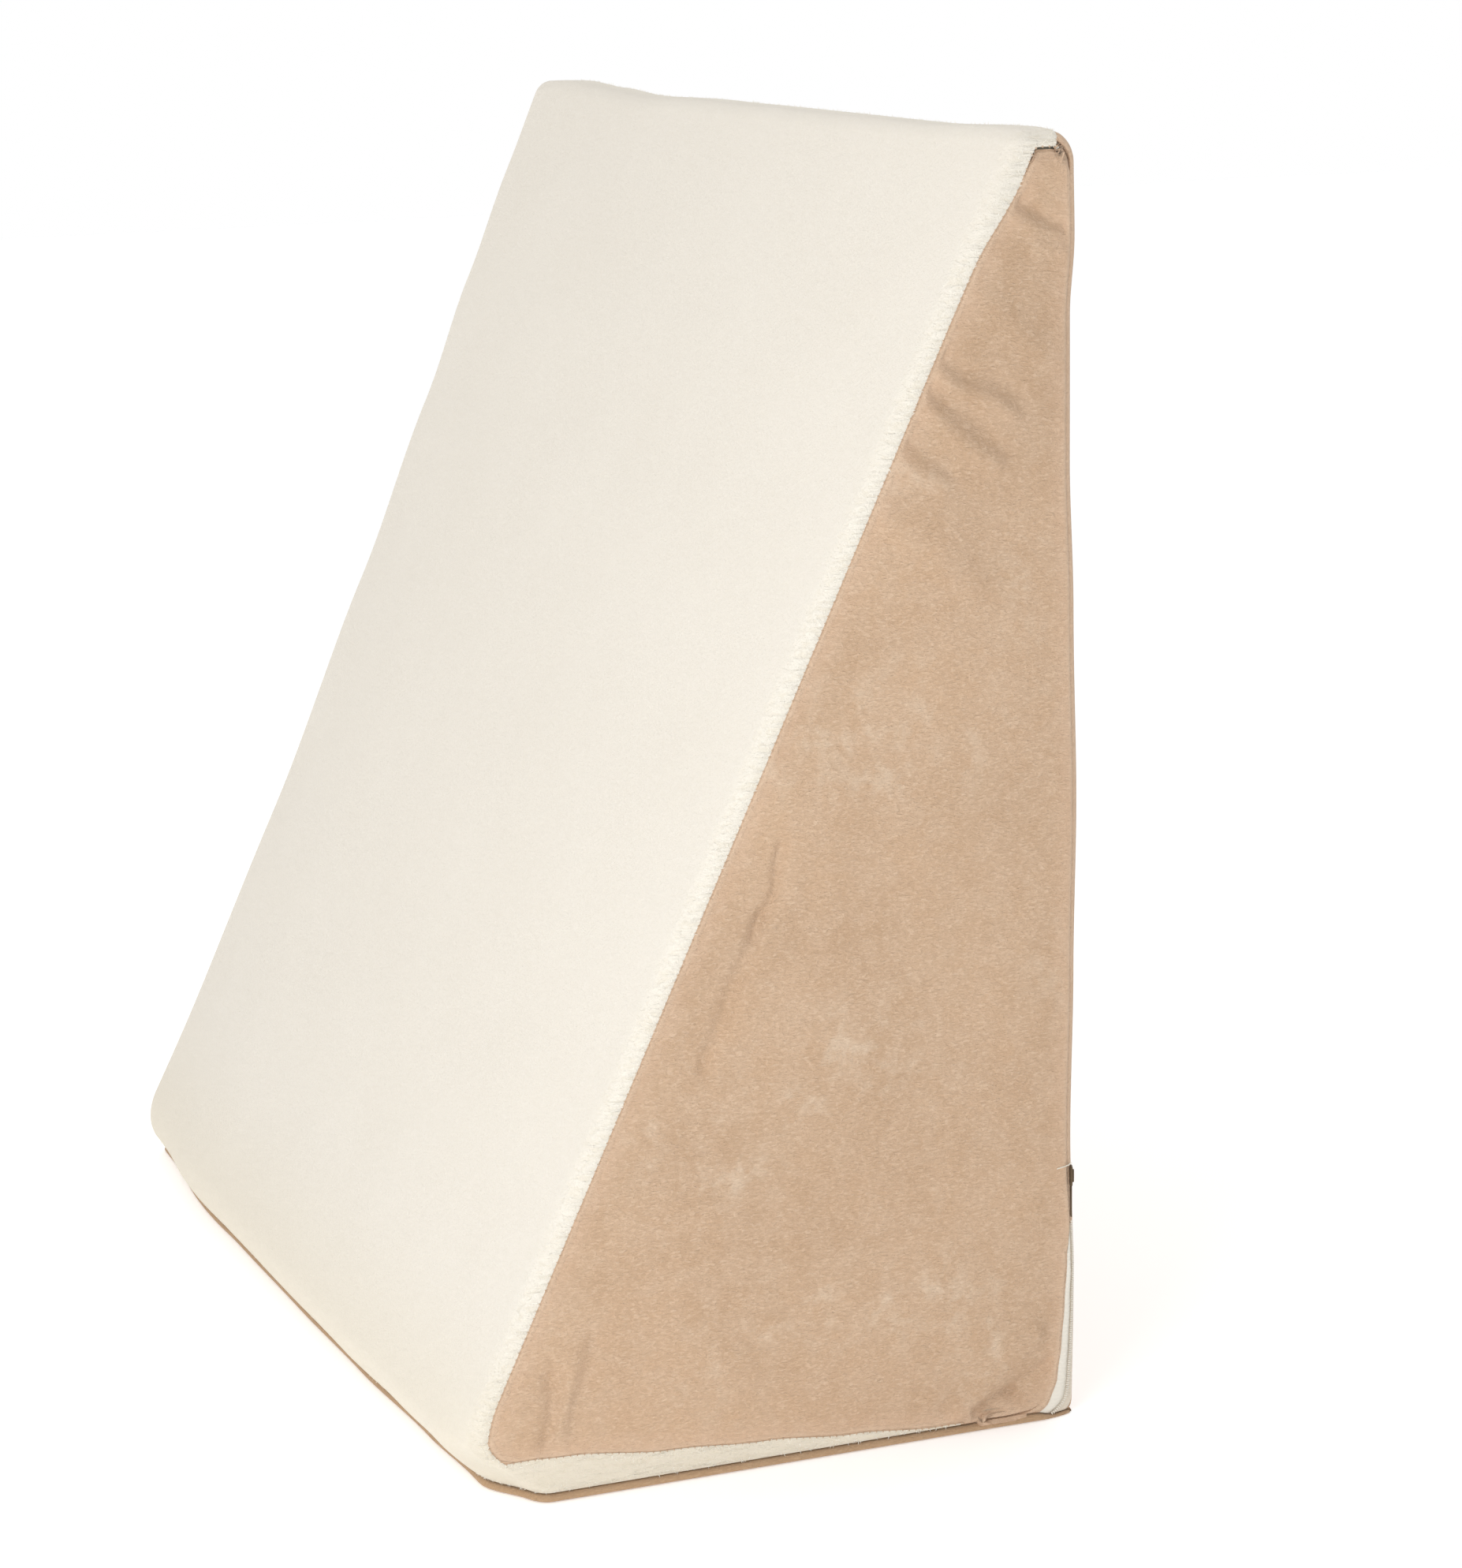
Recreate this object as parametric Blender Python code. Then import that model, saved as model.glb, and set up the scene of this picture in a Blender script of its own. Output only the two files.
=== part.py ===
"""A wedge pillow standing on its thick end, the slope to the front and the flat back behind.

One filled wedge carries a cover of six cut panels: a cream plush sleeping panel that runs from
the toe up the slope and over the nose, and velour sides, back and end. A zip runs down the lower
right back edge and round the heel. Metres, +Z up, -Y to the front, +X to the side with the zip.
"""
import bmesh
import bpy
from math import asin, atan2, cos, exp, hypot, pi, radians, sin, tan
from mathutils import Vector

# Driving sizes of the sewn wedge.
WIDTH = 0.607
HEIGHT = 0.608
SLOPE = radians(64.05)
TOE_DEPTH = 0.3279
BACK_Y = 0.1547

# Roundings of the profile, and of the edges along the slope, nose and back.
TOE_R = 0.0260
NOSE_FRONT_R = 0.011
NOSE_BACK_R = 0.015
HEEL_R = 0.009
SIDE_HEEL_R = 0.019
EDGE_R = 0.0075

# Cloth, sewing and the end panel that the wedge stands on.
CLOTH = 0.0024
GAP = 0.0003
SEAM = 0.0005
SEAM_DIP = 0.0010
JOIN = 0.00002
RIM = 0.0042
BASE = RIM + GAP

# How far the filling bulges each face, how far it leaves two places drawn in, and how far the
# whole width is drawn over towards the far side.
SIDE_CROWN = 0.0024
SLOPE_CROWN = 0.0036
BACK_CROWN = 0.0022
TOE_CORNER = 0.017
TOE_CORNER_UP = 0.055
FAR_DRAWN_IN = 0.0050
DRAWN_OVER = 0.0011

# How full the crowns are: a lower power rises sooner from the edges.
CROWN_FULLNESS = 0.6
CROWN_WIDTH_POWER = 4

# Where the edges' own shapes begin, as a share of the half width from the middle.
FAR_ROLL = (0.45, 1.02)
FAR_DRAWN_FROM = 0.2
TOE_CORNER_FROM = 0.86
BACK_EDGE_FROM = 0.7

# How far below the nose the top line's rise and fall reaches.
TOP_REACH = 0.070

# Steps of the woven grid that all panels are cut from.
TOE_STEPS = 5
SLOPE_STEPS = 22
HEEL_STEPS = 4
NOSE_FRONT_STEPS = 3
NOSE_BACK_STEPS = 4
ACROSS_STEPS = 12
EDGE_STEPS = 3
SIDE_ROWS = TOE_STEPS + SLOPE_STEPS
NOSE_STEPS = NOSE_FRONT_STEPS + 1 + NOSE_BACK_STEPS
PROFILE_STEPS = 2 * SIDE_ROWS + NOSE_STEPS
STATIONS = ACROSS_STEPS + 2 * EDGE_STEPS

# The cream lip: rows of a side's grid below the side panel's hem, the columns it runs to, where
# the hem levels out behind it, and how soon up the side the grid lines stop following the hem.
LIP_ROWS = 3
LIP_COLUMNS = 6
LIP_LEVEL_FROM = 0.86
LIP_BLEND = 3
CREAM_OVER_NOSE = 5

# How much closer the side's grid lines stand towards the gathered heel.
CLOSER_BEHIND = 0.3

# The zip: how high up the back edge its tapes show and its slider sits, its coil, and the slider
# and pull as width, thickness and length.
ZIP_TOP = 0.118
SLIDER_TOP = 0.1245
COIL_R = 0.0008
SLIDER = (0.0062, 0.0030, 0.0098)
PULL = (0.0030, 0.0010, 0.0150)
METAL_ROUNDING = 0.3

# A panel's edge counts as straight below this turn, and a sharp corner is drawn in no further
# than this sine allows.
STRAIGHT_SEAM = radians(40)
SHARPEST_CORNER = 0.35

# Panels, in the order in which their faces are tagged.
SLEEPING, RIGHT, LEFT, BACK, TAPE_SIDE, TAPE_BACK = range(6)

# The side panel's hem above the floor, from the toe's front: how far back, how high.
HEM = (
    {"behind": 0.000, "up": 0.0240},
    {"behind": 0.030, "up": 0.0222},
    {"behind": 0.080, "up": 0.0165},
    {"behind": 0.128, "up": 0.0132},
    {"behind": 0.176, "up": 0.0092},
    {"behind": 0.222, "up": 0.0058},
    {"behind": 0.290, "up": 0.0056},
)

# The top line's rise and fall across the width.
TOP_LINE = (
    {"x": -0.305, "up": 0.0016},
    {"x": -0.262, "up": 0.0026},
    {"x": -0.215, "up": 0.0006},
    {"x": -0.150, "up": -0.0018},
    {"x": -0.070, "up": -0.0006},
    {"x": 0.000, "up": -0.0008},
    {"x": 0.200, "up": -0.0014},
    {"x": 0.285, "up": 0.0006},
    {"x": 0.305, "up": 0.0000},
)

# How far the sleeping panel's far edge lies behind the near one, up the height. A part of it is
# an even twist of the slope, and the rest is the soft roll of the far edge.
FAR_TWIST = 0.45
FAR_EDGE = (
    {"z": 0.000, "back": 0.0231},
    {"z": 0.080, "back": 0.0244},
    {"z": 0.200, "back": 0.0227},
    {"z": 0.330, "back": 0.0169},
    {"z": 0.430, "back": 0.0111},
    {"z": 0.500, "back": 0.0061},
    {"z": 0.560, "back": 0.0029},
    {"z": 0.609, "back": 0.0020},
)

# How far the right back edge stands out behind the flat back, up the height.
BACK_EDGE = (
    {"z": 0.000, "out": 0.0000},
    {"z": 0.060, "out": 0.0010},
    {"z": 0.140, "out": -0.0012},
    {"z": 0.220, "out": 0.0004},
    {"z": 0.300, "out": 0.0018},
    {"z": 0.390, "out": 0.0002},
    {"z": 0.460, "out": -0.0018},
    {"z": 0.525, "out": -0.0018},
    {"z": 0.560, "out": 0.0006},
    {"z": 0.600, "out": 0.0000},
)

# Folds of the side panels, as soft ridges (up > 0) or troughs between two ends in the side's
# plane: y from the middle of the foot, z above the floor, width and height.
FOLDS = (
    {"y0": 0.078, "z0": 0.510, "y1": 0.128, "z1": 0.448, "wide": 0.011, "up": 0.0028},
    {"y0": 0.062, "z0": 0.474, "y1": 0.116, "z1": 0.420, "wide": 0.011, "up": 0.0024},
    {"y0": 0.100, "z0": 0.492, "y1": 0.140, "z1": 0.430, "wide": 0.010, "up": -0.0018},
    {"y0": 0.119, "z0": 0.574, "y1": 0.144, "z1": 0.553, "wide": 0.007, "up": -0.0018},
    {"y0": 0.002, "z0": 0.300, "y1": -0.040, "z1": 0.190, "wide": 0.014, "up": -0.0014},
    {"y0": 0.118, "z0": 0.060, "y1": 0.086, "z1": 0.020, "wide": 0.009, "up": 0.0026},
    {"y0": 0.136, "z0": 0.052, "y1": 0.106, "z1": 0.012, "wide": 0.008, "up": -0.0022},
    {"y0": -0.118, "z0": 0.070, "y1": -0.122, "z1": 0.030, "wide": 0.009, "up": -0.0020},
)

TOE_TIP_Y = BACK_Y - TOE_DEPTH
TOE_Y = TOE_TIP_Y + TOE_R * (1.0 + cos(SLOPE)) / sin(SLOPE)
NOSE_FRONT_Z = HEIGHT - NOSE_FRONT_R
NOSE_FRONT_Y = TOE_TIP_Y + NOSE_FRONT_Z / tan(SLOPE) + NOSE_FRONT_R / sin(SLOPE)
TOE_TURN = pi / 2 + asin((TOE_R - BASE) / TOE_R)


def table(rows, key, value, at):
    """Read a short table as a smooth line through its rows."""
    if at <= rows[0][key]:
        return rows[0][value]
    for low, high in zip(rows, rows[1:]):
        if at <= high[key]:
            part = (at - low[key]) / (high[key] - low[key])
            part = part * part * (3.0 - 2.0 * part)
            return low[value] + part * (high[value] - low[value])
    return rows[-1][value]


def ramp(at, low, high):
    """Rise smoothly from 0 at low to 1 at high."""
    part = min(1.0, max(0.0, (at - low) / (high - low)))
    return part * part * (3.0 - 2.0 * part)


def hump(at):
    """Rise from 0 to 1 halfway and back to 0, and stay at 0 outside."""
    return max(0.0, sin(pi * min(1.0, max(0.0, at))))


def arc(y, z, radius, start, end, steps):
    """Points of an arc in the profile's plane, both ends included."""
    turns = [start + (end - start) * k / steps for k in range(steps + 1)]
    return [(y + radius * cos(a), z + radius * sin(a)) for a in turns]


def line(start, end, steps):
    """Points between two profile points, the ends left out."""
    parts = [k / steps for k in range(1, steps)]
    return [(start[0] + (end[0] - start[0]) * t, start[1] + (end[1] - start[1]) * t) for t in parts]


def profile(inset):
    """The wedge's outline from the toe's base over the nose to the heel's base, moved inwards."""
    slope_normal = pi / 2 + SLOPE
    toe = arc(TOE_Y + inset / sin(SLOPE), TOE_R, TOE_R, pi / 2 + TOE_TURN, slope_normal, TOE_STEPS)
    nose = arc(NOSE_FRONT_Y, NOSE_FRONT_Z, NOSE_FRONT_R - inset, slope_normal, pi / 2,
               NOSE_FRONT_STEPS)
    nose += arc(BACK_Y - NOSE_BACK_R, HEIGHT - NOSE_BACK_R, NOSE_BACK_R - inset, pi / 2, 0.0,
                NOSE_BACK_STEPS)
    heel_r = HEEL_R + (SIDE_HEEL_R - HEEL_R) * inset / EDGE_R
    heel_turn = asin((heel_r - BASE) / heel_r)
    heel = arc(BACK_Y - heel_r - inset, heel_r, heel_r, 0.0, -heel_turn, HEEL_STEPS)
    slope = line(toe[-1], nose[0], SLOPE_STEPS)
    back = line(nose[-1], heel[0], SIDE_ROWS - HEEL_STEPS)
    return toe + slope + nose + back + heel


def stations():
    """Where the profile stands across the width, and how far its edge rounding draws it in."""
    flat = WIDTH / 2 - EDGE_R
    turns = [pi / 2 * k / EDGE_STEPS for k in range(1, EDGE_STEPS + 1)]
    right = [(flat + EDGE_R * sin(a), EDGE_R * (1.0 - cos(a))) for a in turns]
    left = [(-x, inset) for x, inset in reversed(right)]
    middle = [(-flat + 2.0 * flat * k / ACROSS_STEPS, 0.0) for k in range(ACROSS_STEPS + 1)]
    return left + middle + right


def fold_height(y, z):
    """How far the side panels' folds stand out of the side's plane."""
    height = 0.0
    for fold in FOLDS:
        run_y = fold["y1"] - fold["y0"]
        run_z = fold["z1"] - fold["z0"]
        length = hypot(run_y, run_z)
        along = ((y - fold["y0"]) * run_y + (z - fold["z0"]) * run_z) / length
        off = abs((y - fold["y0"]) * run_z - (z - fold["z0"]) * run_y) / length
        past = max(0.0, -along, along - length)
        height += fold["up"] * exp(-(hypot(off, past) / fold["wide"]) ** 2)
    return height


def shaped(x, y, z):
    """Give a point of the plain wedge its crown, drawn-in sides, top line and far-edge softness."""
    rise = z / HEIGHT
    side = 2.0 * x / WIDTH
    depth_here = max(2.0 * EDGE_R, TOE_DEPTH - z / tan(SLOPE))
    front = min(1.0, max(0.0, (BACK_Y - y) / depth_here))
    behind = 1.0 - front
    within = 1.0 - side ** CROWN_WIDTH_POWER
    far = FAR_TWIST * (1.0 - side) / 2.0 + (1.0 - FAR_TWIST) * ramp(-side, *FAR_ROLL)
    crown = SLOPE_CROWN * within * hump(rise) ** CROWN_FULLNESS
    corner = TOE_CORNER * ramp(side, TOE_CORNER_FROM, 1.0) * ramp(-z, -TOE_CORNER_UP, 0.0)
    y -= crown * sin(SLOPE) * front
    y += BACK_CROWN * within * hump(rise) * behind
    y += table(FAR_EDGE, "z", "back", z) * far * front
    y += table(BACK_EDGE, "z", "out", z) * ramp(side, BACK_EDGE_FROM, 1.0) * behind
    y += corner * front
    x += FAR_DRAWN_IN * ramp(-side, FAR_DRAWN_FROM, 1.0) * hump(rise) - corner * front / 2
    z += table(TOP_LINE, "x", "up", x) * ramp(z, HEIGHT - TOP_REACH, HEIGHT)
    z += crown * cos(SLOPE) * front
    return x - DRAWN_OVER, y, z


def side_point(row, column, edge, direction):
    """A point of the grid across one side, from its rounded edge's profile."""
    hem_row = SIDE_ROWS - LIP_ROWS
    inner = 0 < column < NOSE_STEPS
    part = column / NOSE_STEPS
    part += CLOSER_BEHIND * row / SIDE_ROWS * part * (1.0 - part)
    if row == 0:
        y, z = edge[SIDE_ROWS + column]
    else:
        front = edge[SIDE_ROWS - row]
        back = edge[SIDE_ROWS + NOSE_STEPS + row]
        y = front[0] + (back[0] - front[0]) * part
        z = front[1] + (back[1] - front[1]) * part
    if row > 0 and inner:
        low, high = edge[LIP_ROWS], edge[PROFILE_STEPS - LIP_ROWS]
        straight = low[1] + (high[1] - low[1]) * part
        hem = table(HEM, "behind", "up", (high[0] - low[0]) * part)
        hem += (high[1] - hem) * ramp(part, LIP_LEVEL_FROM, 1.0)
        if row <= hem_row:
            z += (hem - straight) * (row / hem_row) ** LIP_BLEND
        else:
            z = hem + (BASE - hem) * (row - hem_row) / LIP_ROWS
    bulge = 0.0
    if inner:
        bulge += SIDE_CROWN * 4.0 * part * (1.0 - part) * hump(row / SIDE_ROWS) ** CROWN_FULLNESS
    if inner and 0 < row < hem_row:
        bulge += fold_height(y, z)
    x, y, z = shaped(direction * WIDTH / 2, y, z)
    return x + direction * bulge, y, z


def bent_grid(bm, columns, rows, place, panel, flipped):
    """Bend an even grid to the places that a rule gives, and tag each face with its panel."""
    old_faces = set(bm.faces)
    made = bmesh.ops.create_grid(bm, x_segments=columns, y_segments=rows, size=1.0)
    for order, vertex in enumerate(made["verts"]):
        row, column = divmod(order, columns + 1)
        vertex.co = place(row, column)
    faces = [face for face in bm.faces if face not in old_faces]
    for order, face in enumerate(faces):
        row, column = divmod(order, columns)
        face.material_index = panel(row, column)
    if flipped:
        bmesh.ops.reverse_faces(bm, faces=faces)


def build_envelope():
    """The whole sewn outside, open at its foot, with each face tagged by its panel."""
    bm = bmesh.new()
    across = stations()
    outlines = [profile(inset) for x, inset in across]
    zip_top_row = next(i for i in range(SIDE_ROWS + NOSE_STEPS, PROFILE_STEPS)
                       if outlines[0][i][1] < ZIP_TOP)

    def wrap_place(row, column):
        return shaped(across[column][0], *outlines[column][row])

    def wrap_panel(row, column):
        right_edge = column - (STATIONS - EDGE_STEPS)
        if row < SIDE_ROWS + CREAM_OVER_NOSE:
            return SLEEPING
        if row >= zip_top_row and right_edge == 1:
            return TAPE_BACK
        if row >= zip_top_row and right_edge == 2:
            return TAPE_SIDE
        if right_edge == 2:
            return RIGHT
        if column == 0:
            return LEFT
        return BACK

    def side_panel(direction):
        panel = RIGHT if direction > 0 else LEFT

        def tag(row, column):
            in_lip = row >= SIDE_ROWS - LIP_ROWS and column < LIP_COLUMNS
            return SLEEPING if in_lip else panel
        return tag

    bent_grid(bm, STATIONS, PROFILE_STEPS, wrap_place, wrap_panel, False)
    for direction, station in ((1, STATIONS), (-1, 0)):
        def place(row, column, edge=outlines[station], way=direction):
            return side_point(row, column, edge, way)
        bent_grid(bm, NOSE_STEPS, SIDE_ROWS, place, side_panel(direction), direction > 0)
    bmesh.ops.remove_doubles(bm, verts=bm.verts, dist=JOIN)
    return bm


def mark_depths(bm):
    """Dip the seams, then store where each point lies under the cloth and under the gap."""
    bm.normal_update()
    under_cloth = bm.verts.layers.float_vector.new("under_cloth")
    core = bm.verts.layers.float_vector.new("core")
    inward = {}
    for vertex in bm.verts:
        normal = vertex.normal.copy()
        if any(edge.is_boundary for edge in vertex.link_edges):
            normal.z = 0.0
            normal.normalize()
        inward[vertex] = -normal
    for vertex in bm.verts:
        if len({face.material_index for face in vertex.link_faces}) > 1:
            vertex.co += inward[vertex] * SEAM_DIP
    for vertex in bm.verts:
        vertex[under_cloth] = vertex.co + inward[vertex] * CLOTH
        vertex[core] = vertex.co + inward[vertex] * (CLOTH + GAP)


def seam_pull(vertex):
    """Which way, and how far, a point on a panel's edge moves to leave its half of the gap."""
    along = [edge.other_vert(vertex).co - vertex.co for edge in vertex.link_edges
             if edge.is_boundary]
    if along[0].angle(-along[1]) < STRAIGHT_SEAM:
        run = (along[0] - along[1]).normalized()
        inwards = vertex.co * 0.0
        for face in vertex.link_faces:
            inwards += face.calc_center_median() - vertex.co
        inwards -= run * inwards.dot(run)
        return inwards.normalized() * (SEAM / 2)
    first, second = along[0].normalized(), along[1].normalized()
    into = 1.0 if len(vertex.link_faces) < 3 else -1.0
    return (first + second) * into * (SEAM / 2) / max(SHARPEST_CORNER, first.cross(second).length)


def cut_panel(envelope, panel):
    """Cut one panel out of the envelope, a seam's width smaller, and give it its thickness."""
    bm = envelope.copy()
    under_cloth = bm.verts.layers.float_vector["under_cloth"]
    others = [face for face in bm.faces if face.material_index != panel]
    bmesh.ops.delete(bm, geom=others, context="FACES")
    shift = {vertex: seam_pull(vertex) for vertex in bm.verts if vertex.is_boundary}
    for vertex, move in shift.items():
        vertex.co += move
        vertex[under_cloth] = vertex[under_cloth] + move
    outside = list(bm.faces)
    made = bmesh.ops.extrude_face_region(bm, geom=outside, use_keep_orig=True)
    for item in made["geom"]:
        if isinstance(item, bmesh.types.BMVert):
            item.co = item[under_cloth]
    bmesh.ops.recalc_face_normals(bm, faces=bm.faces)
    return bm


def cut_core(envelope):
    """The filled wedge itself, just under the cloth and standing on the end panel."""
    bm = envelope.copy()
    core = bm.verts.layers.float_vector["core"]
    for vertex in bm.verts:
        vertex.co = vertex[core]
    foot = [edge for edge in bm.edges if edge.is_boundary]
    bmesh.ops.edgeloop_fill(bm, edges=foot)
    bmesh.ops.recalc_face_normals(bm, faces=bm.faces)
    return bm


def cut_end_panel(envelope):
    """The velour end panel, a flat cloth with a rolled rim, on the envelope's foot line."""
    bm = envelope.copy()
    foot = [edge for edge in bm.edges if edge.is_boundary]
    others = [vertex for vertex in bm.verts if not vertex.is_boundary]
    bmesh.ops.delete(bm, geom=others, context="VERTS")
    across = [edge for edge in bm.edges if edge not in set(foot)]
    bmesh.ops.delete(bm, geom=across, context="EDGES")
    rings = (
        {"z": RIM, "out": -0.0010},
        {"z": RIM * 0.78, "out": 0.0000},
        {"z": RIM * 0.32, "out": 0.0002},
        {"z": 0.0, "out": -0.0014},
    )
    loop = foot
    before = 0.0
    top = foot
    for ring in rings:
        if ring is not rings[0]:
            made = bmesh.ops.extrude_edge_only(bm, edges=loop)
            loop = [item for item in made["geom"] if isinstance(item, bmesh.types.BMEdge)]
        outward = {}
        for vertex in {vertex for edge in loop for vertex in edge.verts}:
            ends = [edge.other_vert(vertex).co for edge in vertex.link_edges if edge in set(loop)]
            run = (ends[1] - ends[0]).normalized()
            way = Vector((run.y, -run.x, 0.0))
            outward[vertex] = way if way.dot(vertex.co) > 0.0 else -way
        for vertex, way in outward.items():
            vertex.co += way * (ring["out"] - before)
            vertex.co.z = ring["z"]
        before = ring["out"]
    bmesh.ops.edgeloop_fill(bm, edges=top)
    bmesh.ops.edgeloop_fill(bm, edges=loop)
    bmesh.ops.recalc_face_normals(bm, faces=bm.faces)
    return bm


def material(name, colour, roughness, metallic=0.0):
    """A plain finish for one kind of piece."""
    made = bpy.data.materials.new(name)
    made.use_nodes = True
    shader = made.node_tree.nodes["Principled BSDF"]
    shader.inputs["Base Color"].default_value = (*colour, 1.0)
    shader.inputs["Roughness"].default_value = roughness
    shader.inputs["Metallic"].default_value = metallic
    return made


def add_piece(collection, name, bm, finish):
    """Put a finished mesh into the pillow's collection under its own name."""
    for face in bm.faces:
        face.material_index = 0
    mesh = bpy.data.meshes.new(name)
    bm.to_mesh(mesh)
    bm.free()
    mesh.shade_smooth()
    mesh.materials.append(finish)
    piece = bpy.data.objects.new(name, mesh)
    collection.objects.link(piece)
    return piece


def zip_line(envelope, panels):
    """The line between two panels, from its top down, with the way out of the cloth."""
    seam = {}
    for edge in envelope.edges:
        if {face.material_index for face in edge.link_faces} == panels:
            for vertex in edge.verts:
                seam[vertex] = vertex.normal.copy()
    ordered = sorted(seam, key=lambda vertex: (-vertex.co.z, -vertex.co.y))
    return [(vertex.co.copy(), seam[vertex]) for vertex in ordered]


def at_height(route, z):
    """Where a falling line passes a height, and the way out of the cloth there."""
    for (high, out), (low, next_out) in zip(route, route[1:]):
        if low.z <= z:
            part = (high.z - z) / (high.z - low.z)
            return high.lerp(low, part), out.lerp(next_out, part).normalized()


def add_coil(collection, route, finish):
    """The zip's closed coil, a thin tube that lies along the tapes' meeting line."""
    curve = bpy.data.curves.new("zip_coil", "CURVE")
    curve.dimensions = "3D"
    curve.bevel_depth = COIL_R
    curve.bevel_resolution = 2
    curve.use_fill_caps = True
    spline = curve.splines.new("POLY")
    spline.points.add(len(route) - 1)
    for point, (place, out) in zip(spline.points, route):
        point.co = (*(place + out * (COIL_R + 2 * GAP)), 1.0)
    curve.materials.append(finish)
    piece = bpy.data.objects.new("zip_coil", curve)
    collection.objects.link(piece)


def add_block(collection, name, size, place, turn, finish):
    """A small metal block with rounded edges, turned about +Z to face out of the zip."""
    bm = bmesh.new()
    bmesh.ops.create_cube(bm, size=1.0)
    for vertex in bm.verts:
        vertex.co.x *= size[0]
        vertex.co.y *= size[1]
        vertex.co.z *= size[2]
    bmesh.ops.bevel(bm, geom=bm.edges, offset=min(size) * METAL_ROUNDING, segments=2, profile=0.5,
                    affect="EDGES", material=-1)
    piece = add_piece(collection, name, bm, finish)
    piece.location = place
    piece.rotation_euler = (0.0, 0.0, turn)


for old in list(bpy.data.objects):
    bpy.data.objects.remove(old, do_unlink=True)

pillow = bpy.data.collections.new("wedge_pillow")
bpy.context.scene.collection.children.link(pillow)

foam = material("filled_core", (0.86, 0.82, 0.72), 0.9)
plush = material("cream_plush", (0.84, 0.79, 0.70), 0.95)
velour = material("tan_velour", (0.62, 0.42, 0.28), 0.85)
tape = material("zip_tape", (0.75, 0.73, 0.68), 0.7)
teeth = material("zip_coil", (0.80, 0.79, 0.76), 0.45)
bronze = material("dark_bronze", (0.13, 0.09, 0.06), 0.35, 1.0)

envelope = build_envelope()
mark_depths(envelope)
coil_route = zip_line(envelope, {TAPE_SIDE, TAPE_BACK})
back_seam = zip_line(envelope, {RIGHT, BACK})

add_piece(pillow, "wedge_cushion", cut_core(envelope), foam)
add_piece(pillow, "sleeping_panel", cut_panel(envelope, SLEEPING), plush)
add_piece(pillow, "side_panel_right", cut_panel(envelope, RIGHT), velour)
add_piece(pillow, "side_panel_left", cut_panel(envelope, LEFT), velour)
add_piece(pillow, "back_panel", cut_panel(envelope, BACK), velour)
add_piece(pillow, "end_panel", cut_end_panel(envelope), velour)
add_piece(pillow, "zip_tape_side", cut_panel(envelope, TAPE_SIDE), tape)
add_piece(pillow, "zip_tape_back", cut_panel(envelope, TAPE_BACK), tape)

# The coil starts where the tapes show. The slider sits above it, over the back seam, and its pull
# hangs from the slider's foot.
add_coil(pillow, coil_route, teeth)
slider_z = SLIDER_TOP - SLIDER[2] / 2
slider_foot = SLIDER_TOP - SLIDER[2]
on_seam, slider_out = at_height(back_seam, slider_z)
slider_turn = atan2(slider_out.y, slider_out.x) - pi / 2
slider_place = on_seam + slider_out * (SLIDER[1] / 2 + 2 * GAP)
slider_place.z = slider_z
add_block(pillow, "zip_slider", SLIDER, slider_place, slider_turn, bronze)
pull_z = slider_foot - PULL[2] / 2 - GAP
on_seam, pull_out = at_height(back_seam, pull_z)
pull_place = on_seam + slider_out * (2 * COIL_R + 4 * GAP + PULL[1] / 2)
pull_place.z = pull_z
add_block(pillow, "zip_pull", PULL, pull_place, slider_turn, bronze)

envelope.free()
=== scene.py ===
"""The looks of a wedge pillow that stands on its thick end: plush, velour, sewing and zip.

Metres, +Z up, the sleeping slope towards -Y and the side with the zip towards +X.
"""

from math import asin, atan2, copysign, cos, exp, hypot, pi, radians, sin, tan

import bmesh
import bpy
from mathutils import Matrix, Vector, kdtree, noise


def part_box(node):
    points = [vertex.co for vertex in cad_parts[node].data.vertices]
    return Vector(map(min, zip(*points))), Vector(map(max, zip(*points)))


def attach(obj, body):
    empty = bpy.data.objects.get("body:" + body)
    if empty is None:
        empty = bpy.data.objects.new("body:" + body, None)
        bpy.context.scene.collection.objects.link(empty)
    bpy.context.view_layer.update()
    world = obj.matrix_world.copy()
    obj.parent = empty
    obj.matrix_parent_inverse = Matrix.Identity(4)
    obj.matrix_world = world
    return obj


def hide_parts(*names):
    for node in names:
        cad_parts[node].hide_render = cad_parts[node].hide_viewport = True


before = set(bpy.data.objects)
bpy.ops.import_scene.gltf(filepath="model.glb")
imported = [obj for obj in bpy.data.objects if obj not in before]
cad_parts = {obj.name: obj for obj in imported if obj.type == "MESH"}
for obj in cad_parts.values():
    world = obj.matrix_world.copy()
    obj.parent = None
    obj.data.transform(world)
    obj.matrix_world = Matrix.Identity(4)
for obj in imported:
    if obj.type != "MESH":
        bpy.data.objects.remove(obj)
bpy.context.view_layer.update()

# The camera.
# It looks at the corner between the slope and the right side from a little above, through a
# long lens. Its place and turn were solved from the wedge's own straight edges.
CAMERA_TURN = radians(66.8987)
CAMERA_RISE = radians(12.38512)
CAMERA_ROLL = radians(-1.00004)
CAMERA_AIM = Vector((0.0, -0.1394, 0.300))
CAMERA_OFFSET = Vector((0.22908, -0.01965, 2.02167))
LENS_MM = 92.546
FILM_MM = 36.0


def into_scene(name, data):
    """Make an object of a mesh, light or camera and put it into the scene."""
    made = bpy.data.objects.new(name, data)
    bpy.context.scene.collection.objects.link(made)
    return made


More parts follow.
